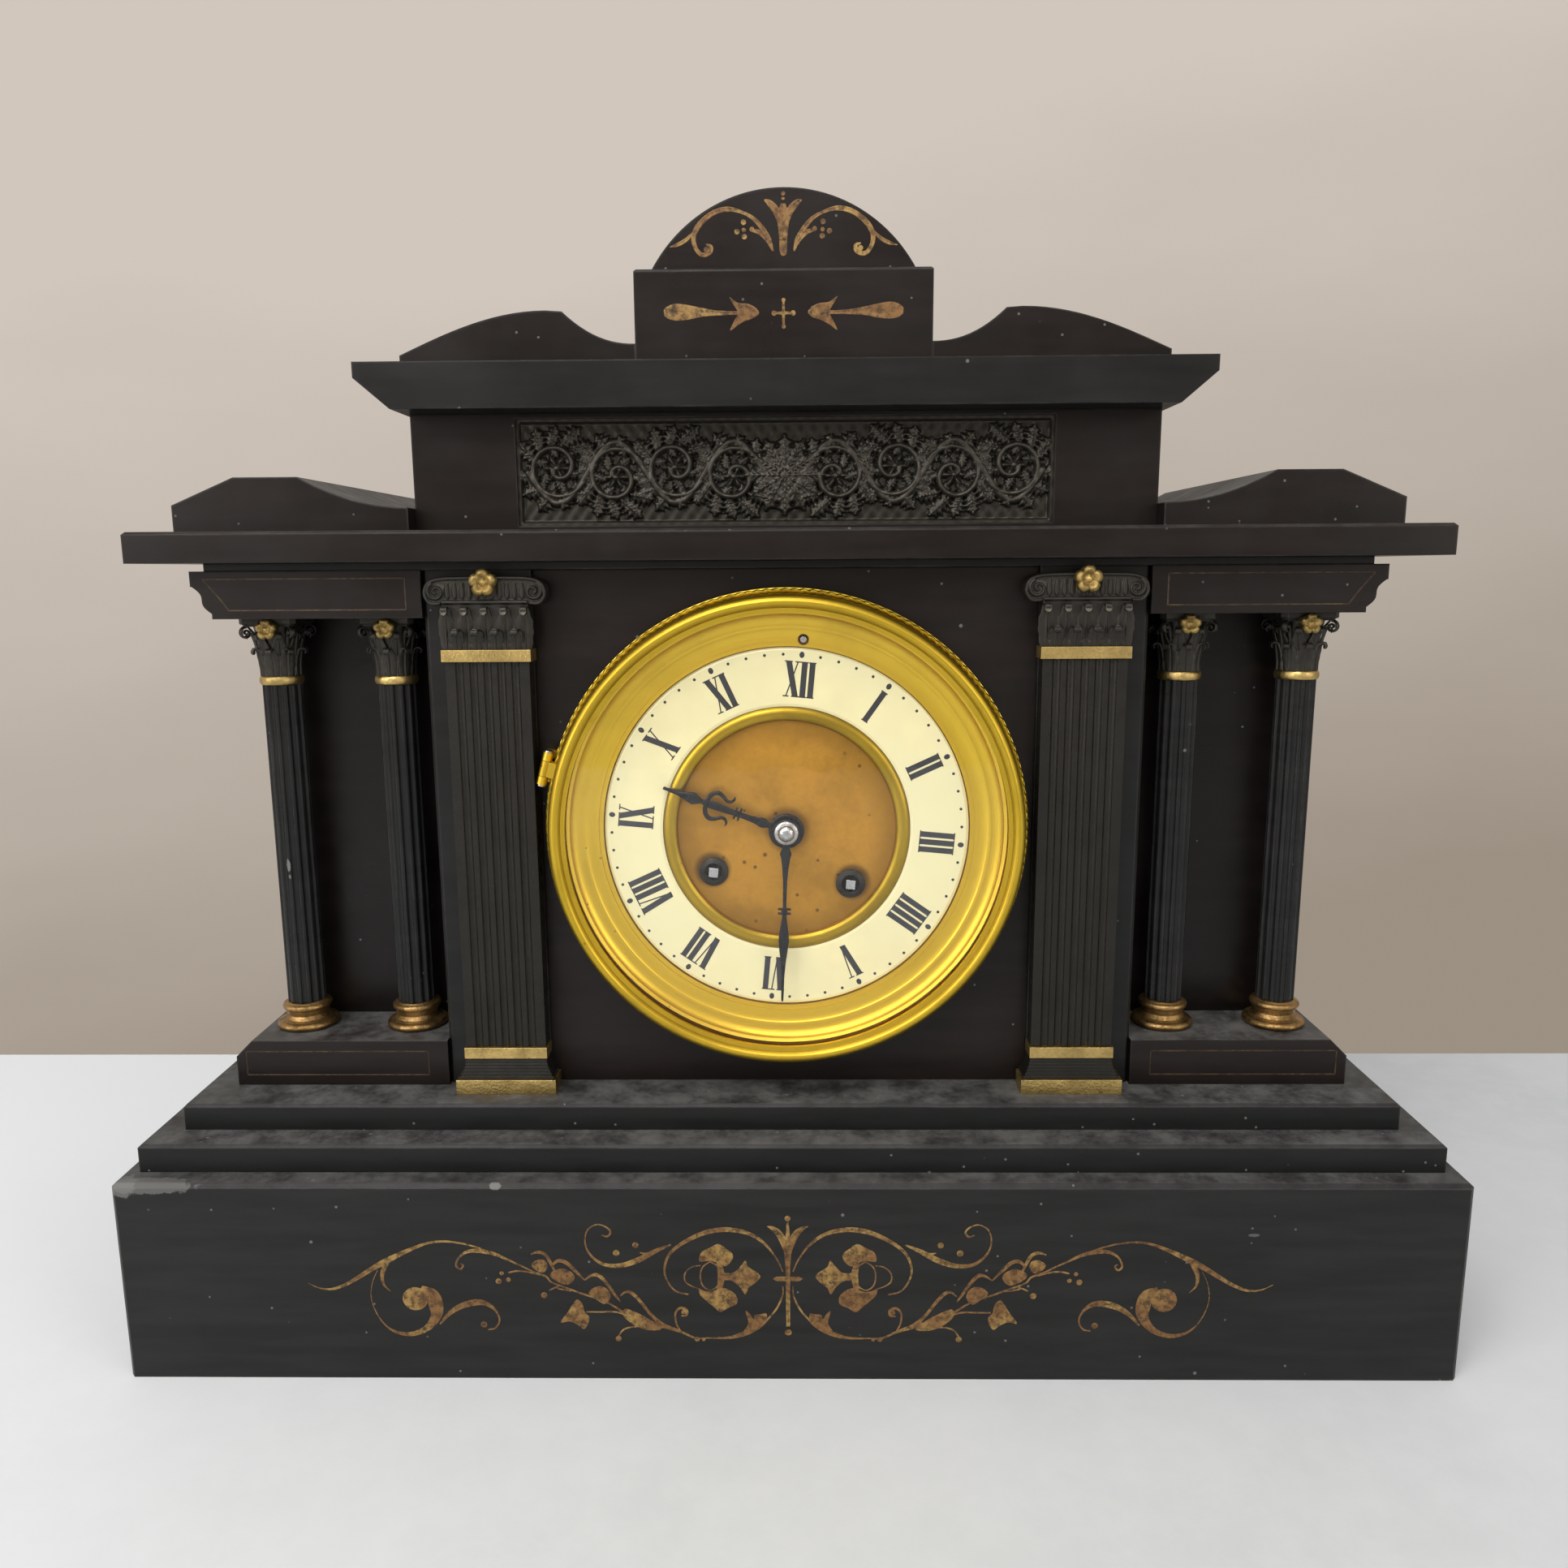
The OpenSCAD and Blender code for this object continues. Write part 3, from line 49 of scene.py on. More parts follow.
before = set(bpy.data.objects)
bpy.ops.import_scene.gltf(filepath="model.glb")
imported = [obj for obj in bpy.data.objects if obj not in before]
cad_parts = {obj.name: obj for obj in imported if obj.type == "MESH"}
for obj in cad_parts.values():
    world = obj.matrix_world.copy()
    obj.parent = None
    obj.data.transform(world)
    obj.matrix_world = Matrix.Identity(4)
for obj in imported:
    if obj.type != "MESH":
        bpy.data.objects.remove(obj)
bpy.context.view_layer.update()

MM = 0.001
OUT = np.array([0.0, -1.0, 0.0])

# dial: centre height, turn of the twelve from upright, front of the enamel, and place of a winding arbor
DIAL_Z = 154.2
DIAL_TWIST = math.radians(5.3)
ENAMEL_Y = -44.2
ARBOR_X, ARBOR_Z = 20.5, -14.0

# front faces that carry engraving
PLINTH_FACE, CREST_FACE, BLOCK_FACE, PANEL_FACE = -75.0, -33.0, -37.0, -44.5

# from the back of the frieze to its highest carving
FRIEZE_THICK = 3.58

# middles of the columns and pilasters, and of the leaves on a pilaster's capital
COLUMNS_X = (-149.4, -115.2, 115.2, 149.4)
COLUMNS_Y = -30.0
NECK_RADIUS, ABACUS_HALF = 5.5, 8.25
PILASTERS_X = (-83.2, 83.2)
PILASTER_FRONT = -49.0
TALL_LEAVES_X = (-11.0, -5.5, 0.0, 5.5, 11.0)
SHORT_LEAVES_X = (-8.25, -2.75, 2.75, 8.25)


def length(name, description, default, low, high):
    return bpy.props.FloatProperty(
        name=name, description=description, default=default, min=low, max=high, precision=2
    )


def colour(name, description, default):
    return bpy.props.FloatVectorProperty(
        name=name, description=description, default=default, min=0, max=1, size=3, subtype="COLOR"
    )


class ClockSizes(bpy.types.PropertyGroup):
    engraving_rise: length("Gilding thickness", "Gilding over the slate, mm", 0.05, 0.01, 0.3)
    numeral_inner: length("Numeral foot", "Radius at the feet of the numerals, mm", 38.5, 36, 42)
    numeral_outer: length("Numeral head", "Radius at the heads of the numerals, mm", 48.7, 45, 51)
    minute_mark_radius: length("Minute track", "Radius of the minute marks, mm", 50.6, 49, 52.4)
    relief_height: length("Frieze relief", "Height of the carving on the frieze, mm", 2.2, 0.5, 2.6)


class ClockColours(bpy.types.PropertyGroup):
    slate: colour("Slate", "Polished black slate", (0.0080, 0.0078, 0.0076))
    slate_warm: colour("Warm slate", "Slate with a brown cast", (0.0086, 0.0058, 0.0050))
    dust: colour("Dust", "Dust on upward faces", (0.13, 0.125, 0.118))
    gilding: colour("Gilding", "Gold in the engraved lines", (0.200, 0.098, 0.030))
    gilt: colour("Gilt bronze", "Gilt bands and rosettes", (0.60, 0.43, 0.16))
    brass: colour("Brass", "Bezel and dial surround", (0.76, 0.51, 0.050))
    copper_gilt: colour("Dial centre", "Matt gilt copper", (0.50, 0.25, 0.030))
    bronze: colour("Bronze", "Dark patinated bronze", (0.027, 0.024, 0.019))
    enamel: colour("Enamel", "Cream enamel of the chapter ring", (0.77, 0.69, 0.37))
    black: colour("Black enamel", "Numerals and hands", (0.010, 0.010, 0.013))


def sizes():
    return bpy.context.scene.clock_sizes


def times(values, factor):
    return tuple(min(1.0, v * factor) for v in values)


def tone(key, factor=1.0):
    """One of the colour settings, made lighter or darker by a factor."""
    return times(getattr(bpy.context.scene.clock_colours, key), factor)


def grid_faces(rows, columns, close_rows=False, close_columns=False):
    """Face (i, j) of a grid of points joins points (i, j), (i + 1, j), (i + 1, j + 1) and (i, j + 1)."""
    i = np.arange(rows if close_rows else rows - 1)
    j = np.arange(columns if close_columns else columns - 1)
    i, j = np.meshgrid(i, j, indexing="ij")
    below, beside = (i + 1) % rows, (j + 1) % columns
    corners = [i * columns + j, below * columns + j, below * columns + beside, i * columns + beside]
    return np.stack(corners, axis=-1).reshape(-1, 4)


def surface(points, close_rows=False, close_columns=True):
    """A (rows, columns, 3) block of points with the faces of its grid."""
    rows, columns = points.shape[:2]
    return points.reshape(-1, 3), grid_faces(rows, columns, close_rows, close_columns)


def capped(rings):
    """A stack of closed rings, whose ends are closed by the middle of the first and of the last ring."""
    middles = np.broadcast_to(rings.mean(axis=1, keepdims=True), rings.shape)
    return surface(np.concatenate([middles[:1], rings, middles[-1:]]))


def together(surfaces):
    """Several surfaces as one: the face numbers of each are moved up by the points before it."""
    points, faces, start = [], [], 0
    for block, quads in surfaces:
        points.append(block)
        faces.append(quads + start)
        start += len(block)
    return np.concatenate(points), np.concatenate(faces)


def cubic(a, b, c, d, steps):
    """Smooth curve from b to c, with a before and d after: for t from 0 to 1 it is
    b + t(c - a)/2 + t^2(2a - 5b + 4c - d)/2 + t^3(3b - a - 3c + d)/2."""
    t = np.linspace(0, 1, steps, endpoint=False)[:, None]
    curve = b + t * (c - a) / 2 + t**2 * (2 * a - 5 * b + 4 * c - d) / 2 + t**3 * (3 * b - a - 3 * c + d) / 2
    return curve.reshape(-1, curve.shape[-1])


def through(points, steps=6):
    """The cubic through the rows of points, with one more in line beyond each end."""
    p = np.asarray(points, float)
    p = np.concatenate([2 * p[:1] - p[1:2], p, 2 * p[-1:] - p[-2:-1]])
    curve = cubic(p[:-3, None], p[1:-2, None], p[2:-1, None], p[3:, None], steps)
    return np.concatenate([curve, p[-2:-1]])


def round_through(points, steps=5):
    """The same cubic round a closed outline, without its last point twice."""
    p = np.asarray(points, float)
    return cubic(*(np.roll(p, shift, axis=0)[:, None] for shift in (1, 0, -1, -2)), steps)


def unit(vectors):
    return vectors / np.maximum(np.linalg.norm(vectors, axis=-1, keepdims=True), 1e-12)


def carry(path, across, out, half_widths, rises, section):
    """Profile carried along a path: point (i, k) = path_i + half_width_i * section_k0 * across_i
    + rise_i * section_k1 * out_i. The section is a closed loop, and a middle point closes each end."""
    s = np.asarray(section, float)
    half_widths, rises = np.broadcast_to(half_widths, len(path)), np.broadcast_to(rises, len(path))
    rings = path[:, None] + across[:, None] * (half_widths[:, None] * s[:, 0])[..., None]
    return capped(rings + out[:, None] * (rises[:, None] * s[:, 1])[..., None])


def side_on(path, half_widths, rises, section):
    """Profile carried along a path in a plane of constant x, with its width along x."""
    along = unit(np.gradient(path, axis=0))
    across = np.broadcast_to((1.0, 0, 0), path.shape)
    return carry(path, across, np.cross(across, along), half_widths, rises, section)


def lathe(profile, centre, steps=96):
    """Profile of (radius, y) turned round the y axis through centre (x, z): the point at angle a is
    (x + radius sin a, y, z + radius cos a)."""
    profile = np.asarray(profile, float)
    a = np.linspace(0, 2 * math.pi, steps, endpoint=False)
    x = centre[0] + np.outer(np.sin(a), profile[:, 0])
    z = centre[1] + np.outer(np.cos(a), profile[:, 0])
    y = np.broadcast_to(profile[:, 1], x.shape)
    return surface(np.stack([x, y, z], axis=-1), close_rows=True, close_columns=False)


def level_rings(rings):
    """Closed loops of (x, z) points, each at the y given with it."""
    block = [np.stack([loop[:, 0], np.full(len(loop), float(y)), loop[:, 1]], axis=-1) for loop, y in rings]
    return surface(np.stack(block))


# flat strip with a shallow gutter down its middle, sunk into the stone below it
GILDED_GROOVE = ((-1, -4), (-1, 0.5), (-0.72, 1), (0, 0.15), (0.72, 1), (1, 0.5), (1, -4))
# half-round strip
HALF_ROUND = ((-1, -0.6), (-1, 0), (-0.8, 0.6), (-0.4, 0.92), (0, 1), (0.4, 0.92), (0.8, 0.6), (1, 0),
              (1, -0.6))
# a filled shape from its sunk rim to its middle: how far out each ring lies, and how high
PATCH_RINGS = ((1, -4), (1, 0.3), (0.92, 1), (0.6, 0.7), (0, 0.9))


def on_face(line, y, rise, section=GILDED_GROOVE, steps=6):
    """Strip on the front face at y along a smooth curve of (x, z, width)."""
    curve = through(line, steps)
    path = np.stack([curve[:, 0], np.full(len(curve), float(y)), curve[:, 1]], axis=-1)
    along = unit(np.gradient(path, axis=0))
    out = np.broadcast_to(OUT, path.shape)
    return carry(path, unit(np.cross(along, out)), out, curve[:, 2] / 2, rise, section)


def patch(corners, y, rise):
    """Filled shape on the face at y, with a smooth edge through (x, z) corners."""
    edge = round_through(corners)
    middle = edge.mean(axis=0)
    rings = [(middle + (edge - middle) * share, y - rise * height) for share, height in PATCH_RINGS]
    return level_rings([(np.repeat(middle[None], len(edge), axis=0), y + 4 * rise), *rings])


def dot(x, z, width, y, rise):
    a = np.linspace(0, 2 * math.pi, 10, endpoint=False)
    return patch(np.stack([x + width / 2 * np.cos(a), z + width / 2 * np.sin(a)], axis=-1), y, rise)


def mirrored(shape):
    """The same surface on the other side of x = 0, with its faces turned back outwards."""
    points, faces = shape
    return points * (-1, 1, 1), faces[:, ::-1]


def moved(shape, dx=0.0, dy=0.0, dz=0.0):
    return shape[0] + (dx, dy, dz), shape[1]


def on_dial(points, degrees=0.0):
    """Points given from the dial's centre, turned clockwise by degrees from the twelve and by the dial's own
    twist: with both as the angle t, x' = x cos t + z sin t and z' = z cos t - x sin t."""
    x, y, z = points[..., 0], points[..., 1], points[..., 2]
    for t in (math.radians(degrees), DIAL_TWIST):
        x, z = x * math.cos(t) + z * math.sin(t), z * math.cos(t) - x * math.sin(t)
    return np.stack([x, y, DIAL_Z + z], axis=-1)


def build(name, shapes, finish, attributes=None):
    """One object from surfaces in millimetres: doubled points are merged, which closes seams and poles."""
    points, faces = together(shapes)
    mesh = bpy.data.meshes.new(name)
    mesh.from_pydata((points * MM).tolist(), [], faces.tolist())
    for key, values in (attributes or {}).items():
        layer = mesh.attributes.new(key, "FLOAT", "POINT")
        layer.data.foreach_set("value", np.asarray(values, np.float32))
    work = bmesh.new()
    work.from_mesh(mesh)
    bmesh.ops.remove_doubles(work, verts=work.verts, dist=2e-7)
    bmesh.ops.recalc_face_normals(work, faces=work.faces)
    work.to_mesh(mesh)
    work.free()
    mesh.materials.append(finish)
    made = bpy.data.objects.new(name, mesh)
    bpy.context.scene.collection.objects.link(made)
    return made


def make_piece(name, shapes, finish, body, smooth=True, replaces=(), attributes=None):
    """A piece that rides a body, smooth except at its sharp edges, or flat all over."""
    piece = build(name, shapes, finish, attributes)
    piece.data.polygons.foreach_set("use_smooth", np.full(len(piece.data.polygons), smooth))
    if smooth:
        piece.data.set_sharp_from_angle(angle=math.radians(50))
    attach(piece, body)
    if replaces:
        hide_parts(*replaces)


def box_mm(node):
    """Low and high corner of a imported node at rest, in millimetres."""
    low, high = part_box(node)
    return np.array(low) / MM, np.array(high) / MM


# left half of each ornament from its middle: lines of (x, z, width), leaves as outlines of (x, z)
# and dots of (x, z, width), mirrored to the right half
PLINTH_LINES = (
    ((0.1, 48.8, 0.38), (0.1, 44.4, 1.06), (-0.1, 39, 1.65), (-0.2, 34.6, 0.97), (-0.3, 25.6, 0.69),
     (-0.3, 16.6, 0.6)),
    ((-0.3, 37.6, 0.49), (-0.9, 42, 1.93), (-2.4, 45.2, 1.92), (-4.2, 46.9, 1.24), (-5.7, 47.5, 0.29)),
    ((-0.2, 31.4, 1.27), (-1.8, 31.4, 1.47), (-3.2, 31.4, 1.27), (-4.1, 31.4, 0.39)),
    ((-1.4, 33.6, 0.39), (-3.1, 37.5, 0.58), (-6.3, 42, 0.87), (-10.7, 45.2, 1.15), (-16.6, 46.5, 1.44),
     (-22, 45.9, 1.44), (-26.5, 44.1, 1.25), (-31.1, 41.2, 1.07), (-33.8, 38, 0.88), (-34.8, 34, 0.74),
     (-34, 30.6, 0.64), (-31.8, 27.6, 0.59), (-28.2, 26.5, 0.59)),
    ((-1.4, 29.1, 0.39), (-1.6, 26.1, 0.59), (-3.3, 22.1, 0.69), (-5.6, 19.1, 0.7), (-8.3, 16.4, 1.1),
     (-12.5, 14.3, 1.51), (-17, 13, 0.91), (-23.4, 12.9, 0.5)),
    ((-32.8, 41.9, 0.48), (-37, 40, 1.26), (-42, 37.2, 1.66), (-47, 35.5, 1.38), (-51.6, 35.7, 1.08),
     (-54.7, 37.7, 0.84), (-56.6, 40.7, 0.64), (-56.9, 43.9, 0.54), (-55.9, 46.6, 0.49),
     (-53.4, 48, 0.48), (-51, 47.3, 0.58), (-49.7, 45.8, 0.68), (-50.6, 44.4, 0.68), (-52.2, 44.8, 0.39)),
    ((-41.6, 39.4, 0.29), (-39.2, 39, 1.07), (-36.5, 40.2, 1.07), (-32.8, 41.9, 0.48)),
    ((-24.6, 35.5, 0.39), (-27.1, 35, 0.49), (-29, 33.1, 0.54), (-29, 30.6, 0.54), (-27.2, 29.1, 0.49),
     (-25, 28.3, 0.39)),
    ((-21.9, 36.7, 0.49), (-19.7, 35.1, 0.54), (-19.1, 32.3, 0.59), (-19.8, 29.3, 0.54),
     (-22, 27.9, 0.49), (-24.1, 29.3, 0.54), (-24.7, 32.3, 0.54), (-24, 35, 0.54), (-21.9, 36.7, 0.49)),
    ((-19.4, 36.5, 1.46), (-18.8, 32.3, 1.96), (-19.4, 27.6, 1.48)),
    ((-30.7, 15, 0.6), (-31.8, 17.5, 0.6), (-32, 20.6, 0.7), (-30.6, 22.3, 0.9), (-28.9, 21.6, 1),
     (-29, 20.1, 0.9), (-30.4, 19.8, 0.5)),
    ((-23.5, 12.8, 0.5), (-26.7, 13, 0.71), (-30.7, 14.9, 0.91), (-35.3, 16.6, 1.41), (-38, 17.5, 1.51)),
    ((-47.6, 26, 0.5), (-45.9, 27.3, 0.8), (-44.1, 26.8, 1.09), (-41.5, 23.8, 1), (-38.8, 20, 1),
     (-35.3, 16.8, 1.21), (-30.7, 14.8, 0.6)),
    ((-57.4, 31, 0.5), (-55.5, 32.3, 0.89), (-53.5, 32.4, 1.19), (-51.3, 30, 0.99), (-49.1, 26.5, 0.9),
     (-47.6, 24.3, 0.4)),
    ((-66.5, 35.5, 0.69), (-64.7, 36.9, 1.09), (-62.4, 36.2, 1.19), (-59.8, 33.5, 0.99),
     (-57.4, 30.8, 0.4)),
    ((-72.4, 38.9, 0.49), (-70.3, 39.5, 0.99), (-68.3, 38.7, 1.09), (-66.9, 36.2, 0.99),
     (-65.6, 33, 0.6)),
    ((-44.3, 19, 0.8), (-49.7, 23, 0.7), (-53.3, 24.9, 0.65), (-57.8, 26.5, 0.7), (-62.3, 28.3, 0.7),
     (-66.8, 30.2, 0.6), (-68.4, 32, 0.7), (-72, 33.5, 0.7), (-75.1, 35.2, 0.6), (-79.1, 37.2, 0.8),
     (-82.6, 38.9, 1.1), (-87.1, 39.9, 1.3), (-90.3, 39.6, 1), (-92.7, 37.9, 0.7), (-93.7, 35.4, 0.71),
     (-92.6, 34.2, 0.71), (-91.7, 35.4, 0.6), (-92.5, 36, 0.4)),
    ((-57.3, 21, 0.5), (-53.4, 21, 0.6), (-48.9, 21, 0.65), (-44.3, 19.3, 0.5)),
    ((-38.9, 15.8, 0.4), (-43.5, 16.4, 0.56), (-46.7, 15.6, 0.61), (-48.4, 13.5, 0.51)),
    ((-79, 33.2, 0.6), (-76.5, 33.7, 0.65), (-73.8, 33.5, 0.6), (-70.2, 32.4, 0.4)),
    ((-67.7, 27.7, 0.5), (-65.3, 28.8, 0.65), (-65, 28.3, 0.65), (-61.4, 27.5, 0.4)),
    ((-75.1, 35.2, 0.4), (-80.8, 38.2, 0.5), (-83.9, 39.5, 0.55), (-87.9, 41.1, 0.6), (-92, 42.2, 0.65),
     (-96.9, 42.8, 0.75), (-101.5, 42.2, 0.85), (-105.7, 40.6, 1.11), (-109.9, 38.6, 1.42),
     (-113.7, 36.6, 1.74), (-117.5, 34.4, 1.44), (-121.3, 31.9, 1.24), (-125.1, 29.6, 1.04),
     (-129.3, 28, 0.84), (-133, 28.3, 0.52), (-136.1, 29.8, 0.21)),
    ((-112.7, 37, 1.02), (-114, 34.9, 1.43), (-114.9, 32.4, 1.13), (-114.6, 29.4, 0.77),
     (-112.8, 27.3, 0.21)),
    ((-104.2, 28.2, 2.05), (-101.1, 26.2, 3.9), (-100.1, 22.9, 4.12), (-100.3, 19.6, 3.1),
     (-103.1, 15.8, 1.88), (-107.8, 13.9, 1.36), (-112.3, 14.7, 0.95), (-115.4, 17.3, 0.52),
     (-117.6, 21.4, 0.42), (-118.5, 25.9, 0.36), (-117.7, 30.4, 0.31), (-116.1, 33.9, 0.26)),
    ((-99.3, 17.1, 0.62), (-96.4, 20.4, 1.24), (-93, 22.7, 1.74), (-88.8, 23.9, 1.94),
     (-85.7, 23.5, 1.43), (-83.2, 21.4, 0.82), (-82.2, 18.4, 0.61), (-83.5, 15.9, 0.62),
     (-85.6, 15.4, 0.52)),
)
PLINTH_LEAVES = (
    ((-24.8, 36.8), (-24.3, 39.5), (-21.8, 41), (-19.5, 42.1), (-17.3, 40.7), (-15.5, 39), (-15.8, 37),
     (-17.6, 35.3), (-19.2, 36), (-21.7, 36.9)),
    ((-18.3, 33.1), (-15.4, 33.3), (-13.1, 35.6), (-11.9, 37), (-11.1, 35.1), (-8.6, 33.3), (-7.8, 31.9),
     (-9.3, 30.1), (-11.1, 28.6), (-12.1, 26.6), (-13.6, 28.9), (-15.9, 30.8), (-18.4, 31.1)),
    ((-25.2, 28.3), (-23.2, 27.5), (-20.9, 27.6), (-19.1, 28.6), (-16.8, 28.1), (-14.6, 26.1),
     (-14.6, 23.6), (-16.9, 22.4), (-19.2, 21.1), (-21, 22.6), (-23.2, 24.6), (-24.8, 26.3)),
    ((-46.3, 22), (-43.4, 21), (-39.8, 19), (-36.2, 16.3), (-37.1, 15.3), (-40.8, 15.5), (-44.4, 17.3),
     (-46.8, 19.8)),
    ((-56.4, 26.8), (-55, 28.5), (-52.7, 29), (-50.9, 27.8), (-50.3, 25.5), (-52, 23.5), (-54.2, 24.8)),
    ((-66.6, 33.5), (-63.9, 34.5), (-61.2, 33.5), (-60.3, 31.5), (-62.2, 29.5), (-64.9, 30.2),
     (-67.1, 32)),
    ((-72.3, 35.9), (-70.4, 37.2), (-68.4, 36.9), (-67.8, 35), (-69.2, 33.2), (-71.5, 34.2)),
    ((-64.8, 17.7), (-62.6, 21), (-60.1, 24.8), (-58.4, 23.5), (-57.8, 21), (-56.5, 19), (-58, 15.7),
     (-60, 17), (-62.2, 18)),
    ((-12.1, 21.4), (-10.8, 20.4), (-10, 18.4), (-9.4, 20.1), (-7.8, 20.4), (-6.2, 20.6), (-6.2, 18.6),
     (-7.9, 16.1), (-11.1, 14.8), (-12.7, 15), (-11.3, 17.6)),
)
PLINTH_DOTS = (
    (0, 49.9, 1.62), (0.1, 47.6, 0.67), (-0.1, 14.7, 1.81), (-0.1, 17.2, 0.9), (-42.8, 41.7, 1.75),
    (-48.3, 39.3, 1.86), (-26, 12.5, 1.41), (-24.1, 12.4, 1.01), (-48.4, 12.6, 1.73), (-29.7, 21, 1.3),
    (-80.9, 33, 1.2), (-81.9, 30.5, 1.71), (-79.1, 31, 1.31), (-69.1, 26.2, 1.81), (-105.9, 25.0, 7.2),
    (-86.7, 17, 1.85),
)
CREST_LINES = (
    ((0.1, 326.7, 1.19), (0.1, 323.3, 3.03), (0, 320.5, 2.76), (0, 317.7, 2.23), (0, 314.4, 2.09)),
    ((-0.1, 320.5, 1.58), (-1.7, 324.5, 1.98), (-3.5, 326.7, 1.72), (-5.1, 327.7, 0.53)),
    ((-2.9, 314.5, 0.65), (-4.2, 318.1, 1.31), (-7.4, 322.3, 1.18), (-10.9, 324.4, 0.92),
     (-15.1, 325.4, 1.32), (-19.3, 324.4, 1.32), (-22.9, 321.6, 1.45), (-24.6, 318.5, 1.32),
     (-24.2, 315.7, 1.18), (-22.5, 313.7, 1.18), (-20.3, 314.3, 1.31), (-19.9, 315.8, 1.05),
     (-21.3, 316.4, 0.53)),
    ((-8.6, 319.9, 0.79), (-6.2, 319.2, 1.31), (-4.3, 317.2, 1.05), (-3, 314.7, 0.52)),
    ((-24.4, 319.8, 0.53), (-26.6, 317.7, 1.05), (-29, 316.4, 1.05), (-31.3, 315.8, 0.33)),
)
CREST_DOTS = (
    (0, 314.1, 1.77), (0.1, 329.3, 1.06), (0.1, 328, 0.73), (-12.7, 319.6, 1.45), (-10.9, 322, 1.45),
    (-10.7, 318.3, 1.44), (-8.6, 320.2, 1.31), (-10.8, 320, 1.18), (-21.2, 315.1, 1.44),
)
BLOCK_LINES = (
    ((-32.8, 297.8, 1.55), (-31.6, 297.9, 3.35), (-29.4, 298, 4.38), (-26, 297.9, 3.73),
     (-22.4, 297.9, 2.31), (-18.8, 297.7, 1.41), (-14, 297.6, 1.03), (-11.6, 297.6, 1.15)),
    ((0, 301, 0.64), (0, 297.5, 0.9), (0, 294, 0.64)),
    ((-2.4, 297.5, 0.64), (0, 297.5, 0.9), (2.7, 297.5, 0.64)),
)
BLOCK_LEAVES = (
    ((-14.8, 301.8), (-12.5, 300.3), (-9.8, 300), (-7.7, 299), (-6.7, 297.6), (-8.1, 296.3),
     (-10.5, 295.5), (-12.4, 294.5), (-14.7, 293), (-13.6, 295.5), (-12.5, 297.6), (-13.5, 299.5)),
)
BLOCK_DOTS = (
    (0, 300.9, 1.09), (0, 294, 1.15), (-2.6, 297.5, 1.41), (0, 297.5, 1.41),
)


def ornament(y, lines, leaves, dots):
    """Gilded ornament on the face at y: its left half, and the same turned over to the right."""
    rise = sizes().engraving_rise
    half = [on_face([(x, z, w * min(1.0, 0.62 + 0.3 * w)) for x, z, w in line], y, rise) for line in lines]
    half += [patch(leaf, y, rise) for leaf in leaves]
    half += [dot(x, z, width, y, rise) for x, z, width in dots]
    return half + [mirrored(shape) for shape in half]


def panel_lines(corners, width=0.42):
    """Thin gilded line round a panel, as one straight strip for each side, and the same to the right."""
    rise = sizes().engraving_rise
    ends = zip(corners, corners[1:] + corners[:1])
    half = [on_face(((*a, width), (*b, width)), PANEL_FACE, rise, steps=2) for a, b in ends]
    return half + [mirrored(side) for side in half]


PEDESTAL_PANEL = ((-163.0, 79.2), (-108.0, 79.2), (-108.0, 86.6), (-163.0, 86.6))
ENTABLATURE_PANEL = ((-163.4, 226.6), (-106.5, 226.6), (-106.5, 217.9), (-156.6, 217.9), (-159.2, 221.6))

# widths of the thick and thin strokes of the numerals
THICK, THIN = 1.62, 0.36
FIGURES = ("XII", "I", "II", "III", "IIII", "V", "VI", "VII", "VIII", "IX", "X", "XI")


def stroke(foot, head, width):
    """Four corners of a straight stroke between a foot and a head on the lines v = 0 and v = 1."""
    return ((foot - width / 2, 0), (foot + width / 2, 0), (head + width / 2, 1), (head - width / 2, 1))


def serif(x, v, reach):
    """Four corners of a short level bar. v is 0 at the foot and 1 at the head."""
    low, high = (0.0, 0.034) if v == 0 else (0.966, 1.0)
    return ((x - reach, low), (x + reach, low), (x + reach, high), (x - reach, high))


def letter(kind, x):
    """Strokes of one letter whose left edge is at x, in millimetres across and shares of its height, and the x
    at which the next letter starts."""
    if kind == "I":
        middle = x + 1.08
        return [stroke(middle, middle, THICK), serif(middle, 0, 1.05), serif(middle, 1, 1.05)], x + 2.22
    left, right = x + 0.9, x + 3.5
    if kind == "V":
        foot = (left + right) / 2 + 0.25
        bars = [stroke(foot - 0.3, left, THICK * 1.05), stroke(foot + 0.1, right, THIN)]
        return bars + [serif(left, 1, 1.15), serif(right, 1, 0.85), serif(foot - 0.1, 0, 0.45)], x + 4.3
    bars = [stroke(right, left, THICK * 1.05), stroke(left - 0.1, right + 0.1, THIN)]
    bars += [serif(left, 1, 1.15), serif(right + 0.1, 1, 0.85)]
    bars += [serif(left - 0.1, 0, 0.85), serif(right, 0, 1.15)]
    return bars, x + 4.4


def figure(text):
    """Strokes of a numeral, centred on x = 0."""
    strokes, x = [], 0.0
    for kind in text:
        bars, x = letter(kind, x)
        strokes += bars
    return np.array(strokes, float) - (x / 2, 0)


def numeral_shapes():
    """Each stroke is a thin block on the enamel: a point (x, v) stands at the radius foot + v * height.
    Strokes that cross differ a little in thickness."""
    foot, head = sizes().numeral_inner, sizes().numeral_outer
    shapes = []
    for hour, text in enumerate(FIGURES):
        for k, corners in enumerate(figure(text)):
            radius = foot + corners[:, 1] * (head - foot)
            levels = (ENAMEL_Y + 0.1, ENAMEL_Y - (0.05 + 0.004 * (k % 4)))
            rings = [np.stack([corners[:, 0], np.full(4, y), radius], axis=-1) for y in levels]
            shapes.append(capped(on_dial(np.stack(rings), 30 * hour)))
    return shapes


